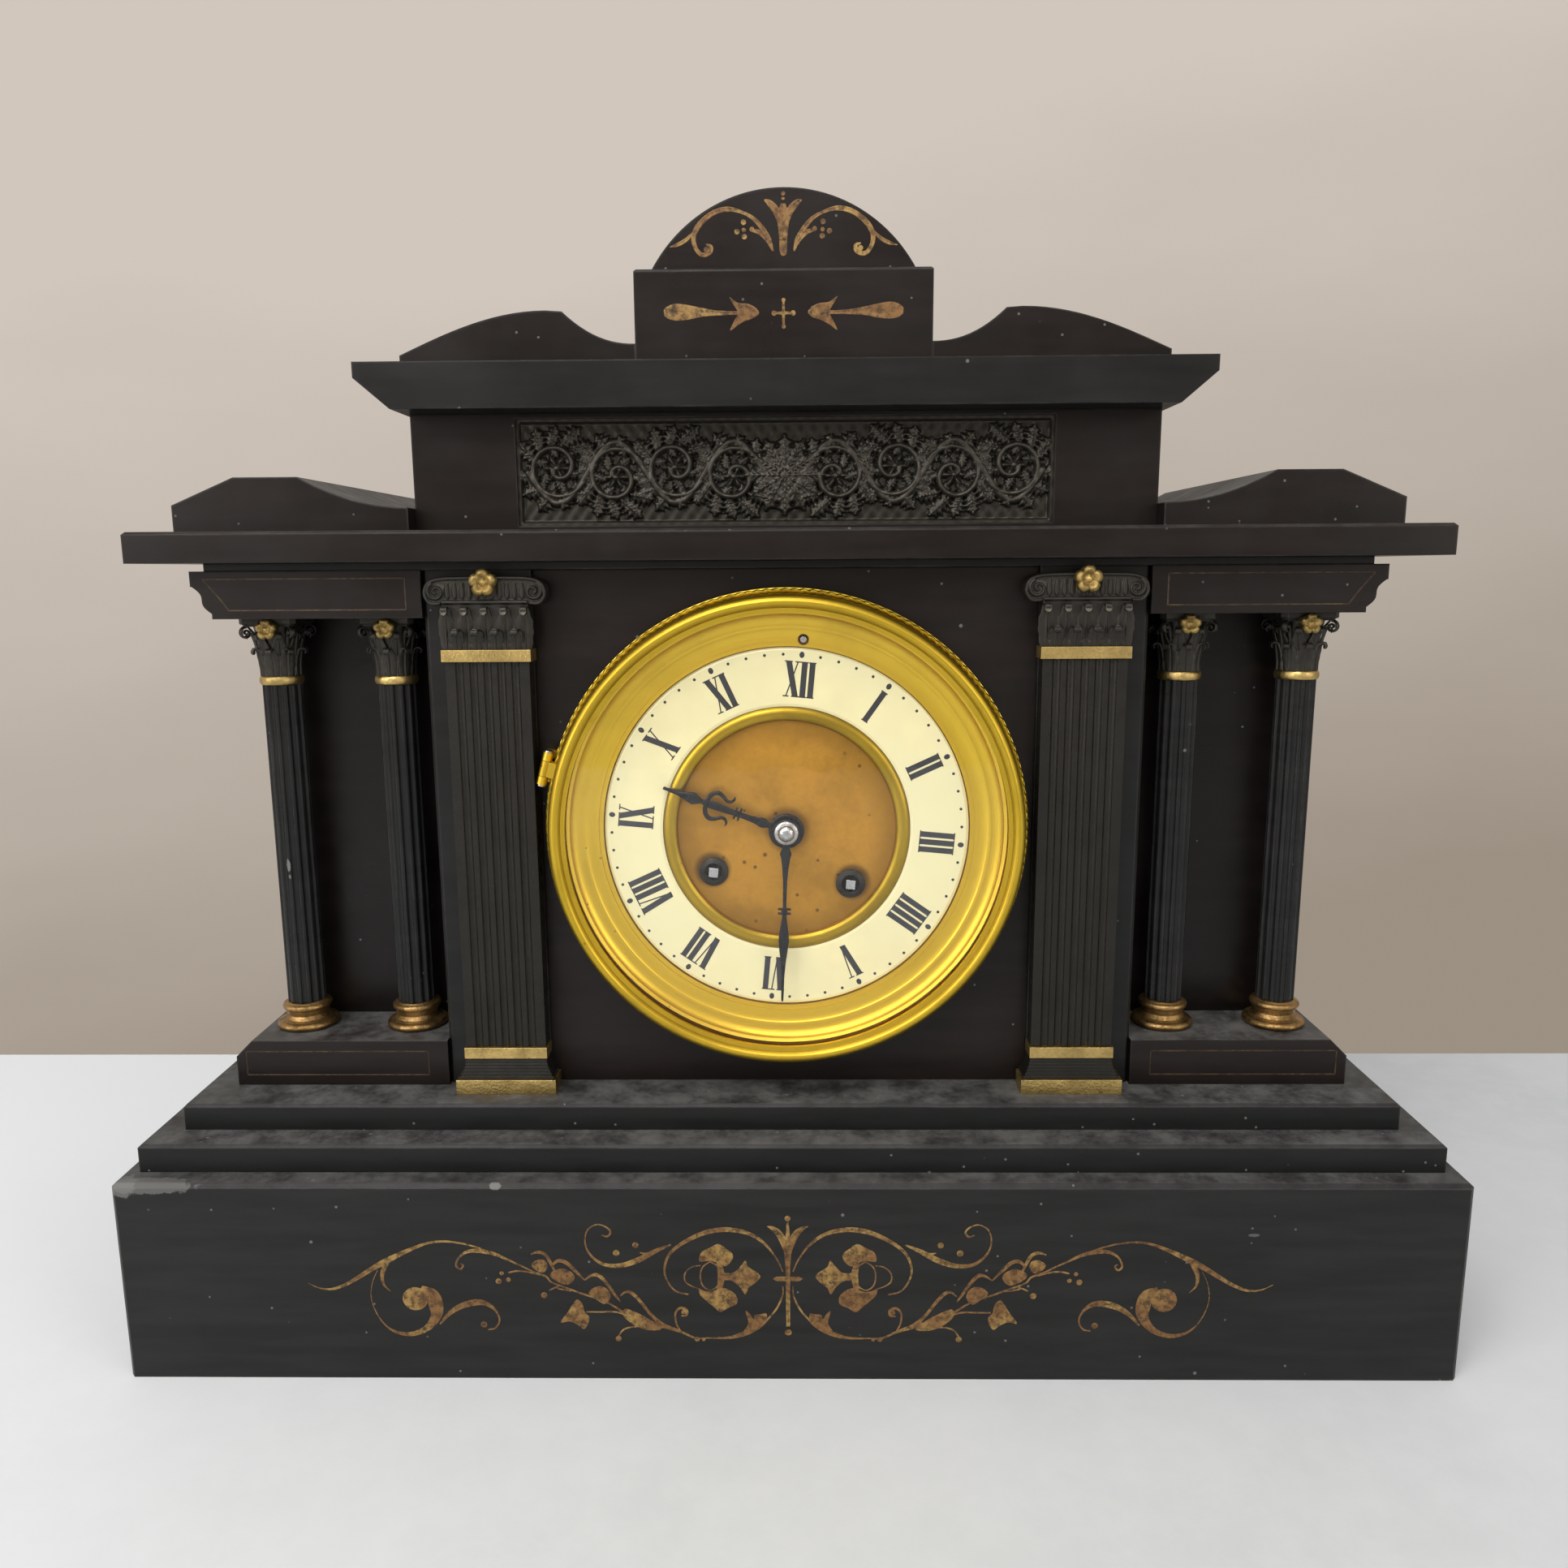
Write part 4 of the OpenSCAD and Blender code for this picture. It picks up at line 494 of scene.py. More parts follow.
def minute_shapes():
    """Sixty small domes on the minute track, wider and longer at each hour."""
    shapes = []
    for minute in range(60):
        width, stretch = (1.45, 1.25) if minute % 5 == 0 else (0.85, 1.0)
        points, faces = dot(0, 0, width, 0, 0.05)
        points = points * (1, 1, stretch) + (0, ENAMEL_Y, sizes().minute_mark_radius)
        shapes.append((on_dial(points, 6 * minute), faces))
    return shapes


SHOWN_HOUR, SHOWN_MINUTE = 9, 29.4
HAND_THICK = 0.8
# front of each hand
HOUR_HAND_Y, MINUTE_HAND_Y = -46.6, -49.0
# rows of (distance from the centre, half width) of each hand's blade
HOUR_BLADE = ((3.6, 1.2), (5.6, 0.75), (6.6, 1.35), (7.6, 1.45), (8.8, 1.1), (10.5, 0.85), (13.4, 0.75),
              (13.9, 0.75), (14.0, 1.9), (14.5, 1.9), (14.6, 0.9), (15.2, 0.9), (15.3, 1.8), (15.8, 1.8),
              (15.9, 0.8), (18.0, 0.95), (22.0, 1.15), (24.2, 1.1), (25.8, 0.6), (27.0, 1.2), (28.2, 1.75),
              (29.4, 1.55), (31.2, 1.0), (33.4, 0.6), (36.6, 0.42), (37.2, 0.5), (37.5, 0.12))
MINUTE_BLADE = ((2.6, 1.3), (4.6, 1.1), (6.2, 1.7), (7.2, 1.35), (10.0, 0.95), (14.0, 0.62), (20.0, 0.52),
                (22.2, 0.5), (22.3, 1.9), (22.8, 1.9), (22.9, 0.8), (23.5, 0.8), (23.6, 1.9), (24.1, 1.9),
                (24.2, 0.55), (27.0, 0.9), (30.0, 1.4), (32.2, 1.5), (35.0, 1.2), (39.0, 0.72), (43.0, 0.45),
                (50.1, 0.34), (50.5, 0.1))
# one of the hour hand's paired curls, as (side, distance, width)
HOUR_CURL = ((0.2, 24.3, 1.3), (1.7, 24.2, 1.3), (3.1, 23.5, 1.3), (3.9, 22.1, 1.25), (3.5, 20.5, 1.05),
             (2.6, 19.0, 0.9), (2.7, 17.8, 0.8), (3.6, 17.1, 0.7), (4.5, 17.2, 0.3))
# ridge: bevelled sides and a slightly raised middle, as a file leaves it
BLADE_SECTION = ((-1, -1), (-1, 0.35), (-0.72, 0.85), (0, 1), (0.72, 0.85), (1, 0.35), (1, -1))
# (radius, y) of the minute hand's pipe and of the nut, from the centre of the front to the centre of the back
PIPE = ((1.25, -48.4), (1.95, -48.4), (1.95, -34.6), (1.25, -34.6), (1.25, -48.4))
NUT = ((0, -51.0), (1.0, -50.95), (1.9, -50.6), (2.3, -50.0), (2.45, -49.6), (3.3, -49.5), (3.45, -49.3),
       (3.45, -49.0), (0, -49.0))


def blade(rows, y):
    """Hand blade: the ridged section carried straight outwards with its half width at each distance."""
    rows = np.asarray(rows, float)
    path = np.stack([0 * rows[:, 0], np.full(len(rows), y), rows[:, 0]], axis=-1)
    across = np.broadcast_to((1.0, 0, 0), path.shape)
    return carry(path, across, np.broadcast_to(OUT, path.shape), rows[:, 1], HAND_THICK / 2, BLADE_SECTION)


def ring(inner, outer, front, back):
    """Flat ring with rounded rims round the dial's centre."""
    edge = min(0.25, (outer - inner) / 3, (back - front) / 3)
    profile = ((inner, back), (inner, front + edge), (inner + edge, front), (outer - edge, front),
               (outer, front + edge), (outer, back), (inner, back))
    return lathe(profile, (0, 0), 64)


def hand_shapes(rows, y, hub, hole, extra=()):
    """A hand that points to the twelve: its blade, its hub round a hole, and what else it has."""
    return [blade(rows, y + HAND_THICK / 2), ring(hole, hub, y, y + HAND_THICK), *extra]


def toothed(teeth, root, tip, hole, front, back):
    """Small pinion: its edge steps between root and tip once for each tooth."""
    share = np.array([-0.30, -0.12, 0.12, 0.30])
    a = (2 * math.pi * (np.arange(teeth)[:, None] + share) / teeth).ravel()
    edge = np.tile([root, tip, tip, root], teeth)
    rings = ((hole, back), (edge, back), (edge, front), (hole, front), (hole, back))
    return level_rings([(np.stack([r * np.cos(a), r * np.sin(a)], axis=-1), y) for r, y in rings])


def upright(profile, steps=40):
    """Profile of (radius, z) turned round the z axis."""
    profile = np.asarray(profile, float)
    a = np.linspace(0, 2 * math.pi, steps, endpoint=False)
    x, y = np.outer(np.cos(a), profile[:, 0]), np.outer(np.sin(a), profile[:, 0])
    z = np.broadcast_to(profile[:, 1], x.shape)
    return surface(np.stack([x, y, z], axis=-1), close_rows=True, close_columns=False)


def plate(corners, front, back):
    """Flat plate with a smooth outline through (x, z) corners and a softened front rim."""
    edge = 0.35
    rim = round_through(corners)
    middle = rim.mean(axis=0)
    small = middle + (rim - middle) * (1 - edge / np.abs(rim - middle).max())
    centre = np.repeat(middle[None], len(rim), axis=0)
    return level_rings([(centre, back), (rim, back), (rim, front + edge), (small, front), (centre, front)])


# leaf section with a raised midrib, and an eight-sided rod
LEAF = ((-1, -0.6), (-0.96, 0.1), (-0.55, 0.6), (-0.16, 0.4), (0, 1), (0.16, 0.4), (0.55, 0.6), (0.96, 0.1),
        (1, -0.6))
ROD = ((-1, 0), (-0.7, 0.7), (0, 1), (0.7, 0.7), (1, 0), (0.7, -0.7), (0, -1), (-0.7, -0.7))


def acanthus(height, width, bulge, curl, thick=0.75):
    """Leaf that stands at the origin, leans out along -y and curls over. With t from 0 to 1 its midline rises
    by (height - curl) t and leans out by bulge t^2, then it goes round a curl that tightens by a third. Its
    half width is width (0.7 + 0.3 sin(pi s)) with small lobes |sin(4.5 pi s)|, s the share of its length,
    and narrows by half towards the curl."""
    t = np.linspace(0, 1, 14)
    a = np.linspace(0, 1.3 * math.pi, 12)[1:]
    tight = curl * (1 - 0.33 * a / a[-1])
    y = np.concatenate([bulge * t**2, bulge + curl - tight * np.cos(a)])
    z = np.concatenate([(height - curl) * t, height - curl + tight * np.sin(a)])
    path = np.stack([0 * y, -y, z], axis=-1)
    s = np.concatenate([[0], np.cumsum(np.linalg.norm(np.diff(path, axis=0), axis=1))])
    s = s / s[-1]
    half = width * (0.7 + 0.3 * np.sin(math.pi * s)) * (0.84 + 0.16 * np.abs(np.sin(4.5 * math.pi * s)))
    half = half * (1 - 0.5 * np.clip((s - 0.45) / 0.4, 0, 1) ** 1.5)
    return side_on(path, half, thick * (1 - 0.4 * s), LEAF)


def volute(radius, turns, width, thick):
    """Scroll in the y-z plane that starts at its outside and winds inwards, seen from the side."""
    t = np.linspace(0, 1, 30)
    a = 2 * math.pi * turns * t
    r = radius * (1 - 0.8 * t)
    path = np.stack([0 * r, -r * np.sin(a), r * np.cos(a)], axis=-1)
    return side_on(path, width * (1 + 0.25 * t), thick * (1 - 0.4 * t), ROD)


def around(shape, degrees, radius, z):
    """Moves a shape out along -y by radius, turns it about the vertical and lifts it by z."""
    points, faces = moved(shape, dy=-radius, dz=z)
    c, s = math.cos(math.radians(degrees)), math.sin(math.radians(degrees))
    x, y = points[:, 0], points[:, 1]
    return np.stack([x * c - y * s, x * s + y * c, points[:, 2]], axis=-1), faces


def abacus(half, hollow, z0, z1):
    """Square slab with cut corners and hollow sides: each side bends in by hollow (1 - (2s - 1)^2)."""
    s = np.linspace(0, 1, 13)
    cut = 1.5
    side = np.stack([-half + cut + (2 * half - 2 * cut) * s, -half + hollow * (1 - (2 * s - 1) ** 2)], axis=-1)
    loop = [side]
    for _ in range(3):
        loop.append(np.stack([-loop[-1][:, 1], loop[-1][:, 0]], axis=-1))
    loop = np.concatenate(loop)
    levels = ((0, z0), (0.90, z0), (0.92, z0 + 0.5), (0.985, z0 + 0.7), (1, z0 + 1.0), (1, z1), (0, z1))
    return surface(np.stack([np.pad(loop * k, ((0, 0), (0, 1)), constant_values=z) for k, z in levels]))


def column_capital(low, high):
    """Bell with two rows of eight leaves, four corner volutes, and a moulded abacus, standing on z = low."""
    tall, radius, half = high - low, NECK_RADIUS, ABACUS_HALF
    bell = [(0, low), (radius, low), (radius, low + 0.5 * tall), (radius + 1.3, high - 2.3), (0, high - 2.3)]
    lower, upper = acanthus(0.47 * tall, 2.3, 0.9, 0.95), acanthus(0.74 * tall, 2.25, 1.9, 1.05)
    scroll, stalk = volute(1.75, 1.35, 0.9, 0.45), acanthus(0.40 * tall, 0.7, 2.9, 0.4, 0.5)
    shapes = [upright(bell), abacus(half, 1.3, high - 2.5, high)]
    for turn in range(0, 360, 45):
        shapes += [around(lower, turn, radius - 0.2, low), around(upper, turn + 22.5, radius - 0.5, low)]
    for turn in range(45, 360, 90):
        shapes.append(around(scroll, turn, half + 1.05, high - 4.3))
        shapes.append(around(stalk, turn, radius + 0.1, high - 2.6 - 0.38 * tall))
    return together(shapes)


def both_ways(rows, z):
    """Rows of (x, height, ...) up to x = 0 lifted by z, then the same rows back on the other side."""
    rows = [(x, z + height, *rest) for x, height, *rest in rows]
    back = rows[:-1] if rows[-1][0] == 0 else rows
    return rows + [(-x, *rest) for x, *rest in reversed(back)]


# left half of a pilaster capital's head and of the strip round it, below its top: (x, z) and (x, z, width)
HEAD = ((-12.0, -9.4), (-14.6, -9.6), (-16.4, -8.2), (-17.0, -6.0), (-16.2, -3.6), (-13.6, -2.2), (-8.0, -1.9))
HEAD_STRIP = ((-12.4, -9.2, 0.9), (-15.0, -9.2, 1.0), (-16.5, -7.4, 1.1), (-16.5, -5.2, 1.1),
              (-15.2, -3.4, 1.1), (-12.0, -2.5, 1.1), (-6.0, -2.3, 1.1), (0, -2.3, 1.1))
# one of the bars between its ends: (height, width)
HEAD_BAR = ((-7.9, 0.7), (-7.2, 1.45), (-5.4, 1.5), (-3.6, 1.1))


def pilaster_capital(low, high, front, back):
    """Block with two rows of curling leaves, a fillet, a row of small bars and a head with a scroll at each
    end. It is built about x = 0."""
    rim = np.array([(-12.0, low), (12.0, low), (12.0, high - 8.6), (-12.0, high - 8.6)])
    middle = rim.mean(axis=0)
    levels = ((0.0, back), (1.0, back), (1.0, front + 1.2), (0.99, front + 0.6), (0.0, front + 0.6))
    shapes = [level_rings([(middle + (rim - middle) * share, y) for share, y in levels])]
    shapes.append(plate(both_ways(HEAD, high), front + 0.9, back))
    shapes.append(on_face(both_ways(HEAD_STRIP, high), front + 0.9, 0.7, HALF_ROUND, 4))
    t = np.linspace(0, 1, 22)
    radius, a = 2.5 * (1 - 0.8 * t), 2.0 + 2 * math.pi * 1.4 * t
    curl = np.stack([-13.5 + radius * np.cos(a), high - 6.0 + radius * np.sin(a), 1.0 - 0.3 * t], axis=-1)
    scroll = on_face(curl, front + 0.9, 0.75, HALF_ROUND, 2)
    fillet = [(x, high - 8.9, 1.3) for x in (-11.8, 0, 11.8)]
    shapes += [scroll, mirrored(scroll), on_face(fillet, front + 0.7, 0.9, HALF_ROUND, 8)]
    for x in np.arange(-10.4, 10.5, 2.08):
        bar = [(x, high + z, width) for z, width in HEAD_BAR]
        shapes.append(on_face(bar, front + 0.9, 0.6, HALF_ROUND, 4))
    tall, short = acanthus(high - 10.2 - low, 2.5, 0.7, 0.95), acanthus(high - 16.4 - low, 2.35, 0.9, 0.95)
    shapes += [moved(tall, x, front + 0.7, low) for x in TALL_LEAVES_X]
    shapes += [moved(short, x, front + 0.35, low) for x in SHORT_LEAVES_X]
    return together(shapes)


# rings of a rosette from the middle of its back to its eye: share of the radius, and height, None at the back
ROSETTE_RINGS = ((0, None), (0.9, None), (1.0, 0.15), (0.88, 0.8), (0.66, 1.0), (0.46, 0.72), (0.33, 0.3),
                 (0.22, 0.42), (0.1, 0.62), (0, 0.66))


def rosette(x, z, y, back, radius, rise):
    """Open flower facing -y, with five rounded lobes q = 2 |cos(5 phi / 2)|^0.6 - 1 round the angle phi: the
    edge is drawn in by 0.11 (q - 1) and the petals sink by 0.22 (q - 1) round a low eye."""
    phi = np.linspace(0, 2 * math.pi, 60, endpoint=False)
    fall = 2 * np.abs(np.cos(5 * (phi - math.pi / 2) / 2)) ** 0.6 - 2
    block = []
    for share, height in ROSETTE_RINGS:
        r = radius * share * (1 + 0.11 * min(1.0, share * 1.6) * fall)
        sink = 0.22 * fall if share > 0.3 else 0 * fall
        depth = np.full(len(phi), float(back)) if height is None else y - rise * height * (1 + sink)
        block.append(np.stack([x + r * np.cos(phi), depth, z + r * np.sin(phi)], axis=-1))
    return surface(np.stack(block))


def rope(radius, y, thick, strands):
    """Twisted cord round the dial: a ring whose section has the radius
    thick (0.82 + 0.18 cos(strands t + 2 phi))."""
    t = np.linspace(0, 2 * math.pi, strands * 7, endpoint=False)[:, None]
    phi = np.linspace(0, 2 * math.pi, 12, endpoint=False)[None]
    section = thick * (0.82 + 0.18 * np.cos(strands * t + 2 * phi))
    r = radius + section * np.cos(phi)
    block = np.stack([r * np.sin(t), y + section * np.sin(phi), DIAL_Z + r * np.cos(t)], axis=-1)
    return surface(block, close_rows=True)


def nearest(x, z, line):
    """Distance from every point to a chain of straight pieces: to each piece it is the distance to its
    closest point, a + t(b - a) with t between 0 and 1, and the smallest of them counts."""
    best = np.full(x.shape, 1e9)
    for start, step in zip(line[:-1], line[1:] - line[:-1]):
        t = ((x - start[0]) * step[0] + (z - start[1]) * step[1]) / max(step @ step, 1e-9)
        t = np.clip(t, 0, 1)
        best = np.minimum(best, np.hypot(x - start[0] - t * step[0], z - start[1] - t * step[1]))
    return best


def stem_height(x, z, line, width):
    """Round stem: height sqrt(1 - (distance / half width)^2) along a line."""
    return np.sqrt(np.clip(1 - (nearest(x, z, line) / (width / 2)) ** 2, 0, 1))


def leaf_height(x, z, root, angle, size, width):
    """Lobed leaf: u runs from 0 at the root to 1 at the tip, and the half width is
    width * sin(pi u)^0.7 * (1 + 0.28 cos(10 pi u)); the blade falls away from a raised midrib."""
    c, s = math.cos(angle), math.sin(angle)
    u = ((x - root[0]) * c + (z - root[1]) * s) / size
    side = -(x - root[0]) * s + (z - root[1]) * c
    inside = (u > 0) & (u < 1)
    half = width * np.sin(math.pi * np.clip(u, 0, 1)) ** 0.7 * (1 + 0.28 * np.cos(10 * math.pi * u))
    across = np.abs(side) / np.maximum(half, 1e-6)
    body = 0.78 * (1 - across**3) + 0.22 * np.clip(1 - np.abs(side) / 0.45, 0, 1)
    veins = 0.10 * np.cos(16 * math.pi * (u - 0.25 * across))
    return np.where(inside & (across < 1), np.clip(body + veins * (1 - across), 0.05, 1), 0)


def flower_height(x, z, middle, size, petals=6):
    """Round flower: petals lift the height by the cosine of the angle, round a raised eye."""
    rho = np.hypot(x - middle[0], z - middle[1]) / size
    phi = np.arctan2(z - middle[1], x - middle[0])
    edge = 0.82 + 0.18 * np.cos(petals * phi)
    crown = 0.55 + 0.35 * np.cos(petals * phi) * np.clip(rho * 2, 0, 1)
    eye = np.sqrt(np.clip(1 - (rho / 0.28) ** 2, 0, 1))
    return np.maximum(np.clip(1 - (rho / edge) ** 4, 0, 1) * crown, eye)


def from_middle(middle, radius, angle):
    """Point at a radius and an angle from a middle."""
    return np.stack([middle[0] + radius * np.cos(angle), middle[1] + radius * np.sin(angle)], axis=-1)


def scroll_line(middle, start_radius, start_angle, turns, way):
    """Spiral stem: the radius shrinks from start_radius to 0.16 of it as the angle goes round."""
    t = np.linspace(0, 1, 44)
    angle = start_angle + way * 2 * math.pi * turns * t
    return from_middle(middle, start_radius * (1 - t * 0.84 * (0.6 + 0.4 * t)), angle)


def rinceau(x, z, half_length, half_height):
    """Running scroll of acanthus: a wavy stem, a spiral with a flower in each of its bays, and leaves that
    grow outwards from the stem. x and z are from the panel's middle, and the pattern is the same on both
    sides of it. Returns heights between 0 and 1, the highest of all its parts at each point."""
    x = np.abs(x)
    bays, reach = 4, half_length - 3.0
    bay = reach / (bays + 0.35)
    wave = np.linspace(0, reach, 90)
    stem = np.stack([wave, (half_height - 4.2) * 0.8 * np.sin(math.pi * (wave - 0.35 * bay) / bay)], axis=-1)
    heights = [0.85 * stem_height(x, z, stem, 2.4)]
    for k in range(bays):
        way = 1 if k % 2 else -1
        middle = ((k + 0.86) * bay, way * 1.3)
        for n, turn in enumerate(range(12, 360, 29)):
            t = math.radians(turn * way)
            root, size = from_middle(middle, bay * 0.36, t), 8.2 - 0.9 * (n % 3)
            heights.append((0.86 - 0.07 * (n % 4)) * leaf_height(x, z, root, t + way * 0.7, size, 2.5))
        for turn in range(0, 360, 60):
            t = math.radians(turn + 40)
            root = from_middle(middle, bay * 0.17, t)
            heights.append(0.62 * leaf_height(x, z, root, t - way * 0.8, 4.6, 1.7))
        spiral = scroll_line(middle, bay * 0.50, math.radians(150 if way < 0 else -150), 1.35, way)
        heights.append(0.92 * stem_height(x, z, spiral, 1.9))
        heights.append(flower_height(x, z, middle, bay * 0.25))
    for turn in range(-90, 121, 30):
        heights.append(leaf_height(x, z, (0, -1.0), math.radians(turn), 11.5, 2.9))
    heights.append(flower_height(x, z, (0, -1.0), 3.8, 8))
    return np.max(heights, axis=0)


class Nodes:
    """A node tree being put together. add() makes a node, sets its sockets from numbers and joins the rest."""

    def __init__(self, tree):
        self.tree = tree

    def set(self, node, sockets):
        for key, value in sockets.items():
            target = node.inputs[key.replace("_", " ") if isinstance(key, str) else key]
            if isinstance(value, bpy.types.NodeSocket):
                self.tree.links.new(value, target)
            elif isinstance(value, tuple) and target.type == "RGBA":
                target.default_value = (*value, 1)
            else:
                target.default_value = value

    def add(self, kind, sockets=None, **settings):
        node = self.tree.nodes.new(kind)
        for key, value in settings.items():
            setattr(node, key, value)
        self.set(node, sockets or {})
        return node

    def math(self, operation, a, b):
        return self.add("ShaderNodeMath", {0: a, 1: b}, operation=operation).outputs[0]

    def product(self, a, b):
        return self.math("MULTIPLY", a, b)

    def vector(self, operation, a, b):
        return self.add("ShaderNodeVectorMath", {0: a, 1: b}, operation=operation).outputs[0]

    def dot(self, a, b):
        return self.add("ShaderNodeVectorMath", {0: a, 1: b}, operation="DOT_PRODUCT").outputs["Value"]

    def size(self, vector):
        return self.add("ShaderNodeVectorMath", {0: vector}, operation="LENGTH").outputs["Value"]

    def mix(self, amount, a, b):
        return self.add("ShaderNodeMix", {0: amount, 6: a, 7: b}, data_type="RGBA").outputs[2]

    def blend(self, amount, a, b):
        return self.add("ShaderNodeMixShader", {0: amount, 1: a, 2: b}).outputs[0]


class Finish(Nodes):
    """A surface material round a Principled shader, with patterns that lie in the object's own space."""

    def __init__(self, name, **constants):
        self.material = bpy.data.materials.new(name)
        self.material.use_nodes = True
        super().__init__(self.material.node_tree)
        self.shader = next(n for n in self.tree.nodes if n.type == "BSDF_PRINCIPLED")
        self.set(self.shader, constants)
        self.position = self.add("ShaderNodeTexCoord").outputs["Object"]

    def cloud(self, scale, detail=4.0, roughness=0.55, where=None):
        """Noise between 0 and 1 whose patches are about 1/scale metres across."""
        sockets = {"Vector": where or self.position, "Scale": scale, "Detail": detail, "Roughness": roughness}
        return self.add("ShaderNodeTexNoise", sockets).outputs[0]

    def between(self, value, low, high, start=0.0, end=1.0):
        """Goes smoothly from start to end while value goes from low to high."""
        sockets = {"Value": value, "From Min": low, "From Max": high, "To Min": start, "To Max": end}
        return self.add("ShaderNodeMapRange", sockets, interpolation_type="SMOOTHSTEP").outputs[0]

    def specks(self, scale, size, share):
        """Round specks in a share of the cells of a Voronoi pattern."""
        cells = self.add("ShaderNodeTexVoronoi", {"Vector": self.position, "Scale": scale})
        near = self.between(cells.outputs["Distance"], size, size * 0.6)
        pick = self.add("ShaderNodeSeparateColor", {0: cells.outputs["Color"]}).outputs[0]
        return self.product(near, self.between(pick, 1 - share, 1 - share + 0.02))

    def spot(self, centre, radii):
        """1 inside an ellipsoid of millimetre radii whose edge is ragged by noise, 0 outside it."""
        shifted = self.vector("SUBTRACT", self.position, tuple(v * MM for v in centre))
        away = self.size(self.vector("MULTIPLY", shifted, tuple(1 / (v * MM) for v in radii)))
        rough = self.product(self.math("SUBTRACT", self.cloud(330, 4, 0.6), 0.5), 1.4)
        return self.between(self.math("ADD", away, rough), 1.1, 0.9)

    def upward(self, low, high):
        """0 to 1 as the surface turns to face up."""
        normal = self.add("ShaderNodeNewGeometry").outputs["Normal"]
        return self.between(self.add("ShaderNodeSeparateXYZ", {0: normal}).outputs["Z"], low, high)

    def edges(self, radius):
        """Rounded normal and how far it leans from the flat one, which is large along an arris."""
        soft = self.add("ShaderNodeBevel", {"Radius": radius}, samples=4).outputs[0]
        flat = self.add("ShaderNodeNewGeometry").outputs["Normal"]
        return soft, self.between(self.dot(soft, flat), 0.995, 0.80)

    def bump(self, height, strength, distance, normal=None):
        sockets = {"Height": height, "Strength": strength, "Distance": distance}
        if normal is not None:
            sockets["Normal"] = normal
        return self.add("ShaderNodeBump", sockets).outputs[0]

    def radius_from(self, x, z):
        """Distance in metres from the line along y through (x, z) millimetres."""
        shifted = self.vector("SUBTRACT", self.position, (x * MM, 0, z * MM))
        return self.size(self.vector("MULTIPLY", shifted, (1, 0, 1)))

    def done(self, **sockets):
        self.set(self.shader, sockets)
        return self.material


# pale marks on the slate: specks, fine specks, chips and worn arrises
SPECK, FINE_SPECK = (0.16, 0.155, 0.145), (0.20, 0.195, 0.185)
CHIP, ARRIS = (0.17, 0.165, 0.155), (0.13, 0.125, 0.115)


def slate(name, base, dust, wear, specks, roughness, chips=()):
    """Polished slate: slow clouding, faint bed lines, dust on ledges, specks, pale worn arrises and grey
    chips, each a (centre, radii, strength)."""
    f = Finish(name, Specular_IOR_Level=0.22)
    layers = f.add("ShaderNodeMapping", {"Vector": f.position, "Scale": (1, 1, 9), "Rotation": (0.1, 0.25, 0)})
    beds = f.cloud(26, 5, 0.6, layers.outputs[0])
    shown = f.mix(f.between(beds, 0.3, 0.7), times(base, 0.82), times(base, 1.28))
    ledge = f.product(f.upward(0.6, 0.95), f.between(f.cloud(95, 6, 0.7), 0.28, 0.72, 0.15, 1.0))
    ledge = f.product(ledge, dust)
    shown = f.mix(ledge, shown, tone("dust"))
    shown = f.mix(f.product(f.specks(120, 0.075, specks * 0.4), 0.7), shown, SPECK)
    shown = f.mix(f.product(f.specks(340, 0.15, specks * 0.16), 0.5), shown, FINE_SPECK)
    for centre, radii, strength in chips:
        shown = f.mix(f.product(f.spot(centre, radii), strength), shown, CHIP)
    soft, lean = f.edges(0.0007)
    worn = f.product(lean, f.between(f.cloud(60, 5, 0.75), 0.35, 0.68, 0.05, 1.0))
    shown = f.mix(f.product(worn, wear), shown, ARRIS)
    polish = f.between(f.cloud(40, 4, 0.6), 0.3, 0.75, roughness - 0.06, roughness + 0.10)
    rough = f.math("ADD", polish, f.product(ledge, 0.5))
    return f.done(Base_Color=shown, Roughness=rough, Normal=f.bump(f.cloud(900, 3, 0.6), 0.08, 0.0002, soft))


def gilding(name, base):
    """Old gold paint in the engraving: matt, thin in places and brown where it has worn."""
    f = Finish(name, Metallic=0.35)
    golden = tuple(v * k for v, k in zip(base, (1.6, 2.0, 1.9)))
    shown = f.mix(f.between(f.cloud(85, 4, 0.55), 0.42, 0.62), base, golden)
    shown = f.mix(f.between(f.cloud(480, 5, 0.7), 0.36, 0.6), times(base, 0.35), shown)
    shown = f.mix(f.between(f.cloud(300, 5, 0.75), 0.56, 0.66, 0, 0.8), shown, (0.018, 0.014, 0.011))
    return f.done(Base_Color=shown, Roughness=0.5, Normal=f.bump(f.cloud(1500, 3), 0.25, 0.0001))


def metal(name, base, roughness, dirt, dark, bump=0.15, scale=130, metallic=1.0, wear=1.3):
    """Metal with darker tarnish in patches, finer mottling and uneven polish."""
    f = Finish(name, Metallic=metallic)
    patches = f.between(f.cloud(scale, 5, 0.65), 0.35, 0.7)
    shown = f.mix(f.product(patches, dirt), base, times(base, dark))
    fine = f.between(f.cloud(scale * 9, 3, 0.6), 0.3, 0.75)
    shown = f.mix(f.product(fine, dirt * 0.5), shown, times(base, dark * 1.4))
    soft, lean = f.edges(0.0003)
    shown = f.mix(f.product(lean, 0.35), shown, times(base, wear))
    rough = f.between(f.cloud(scale * 2, 4, 0.6), 0.3, 0.7, roughness * 0.75, roughness * 1.4)
    return f.done(Base_Color=shown, Roughness=rough, Normal=f.bump(fine, bump, 0.0002, soft))


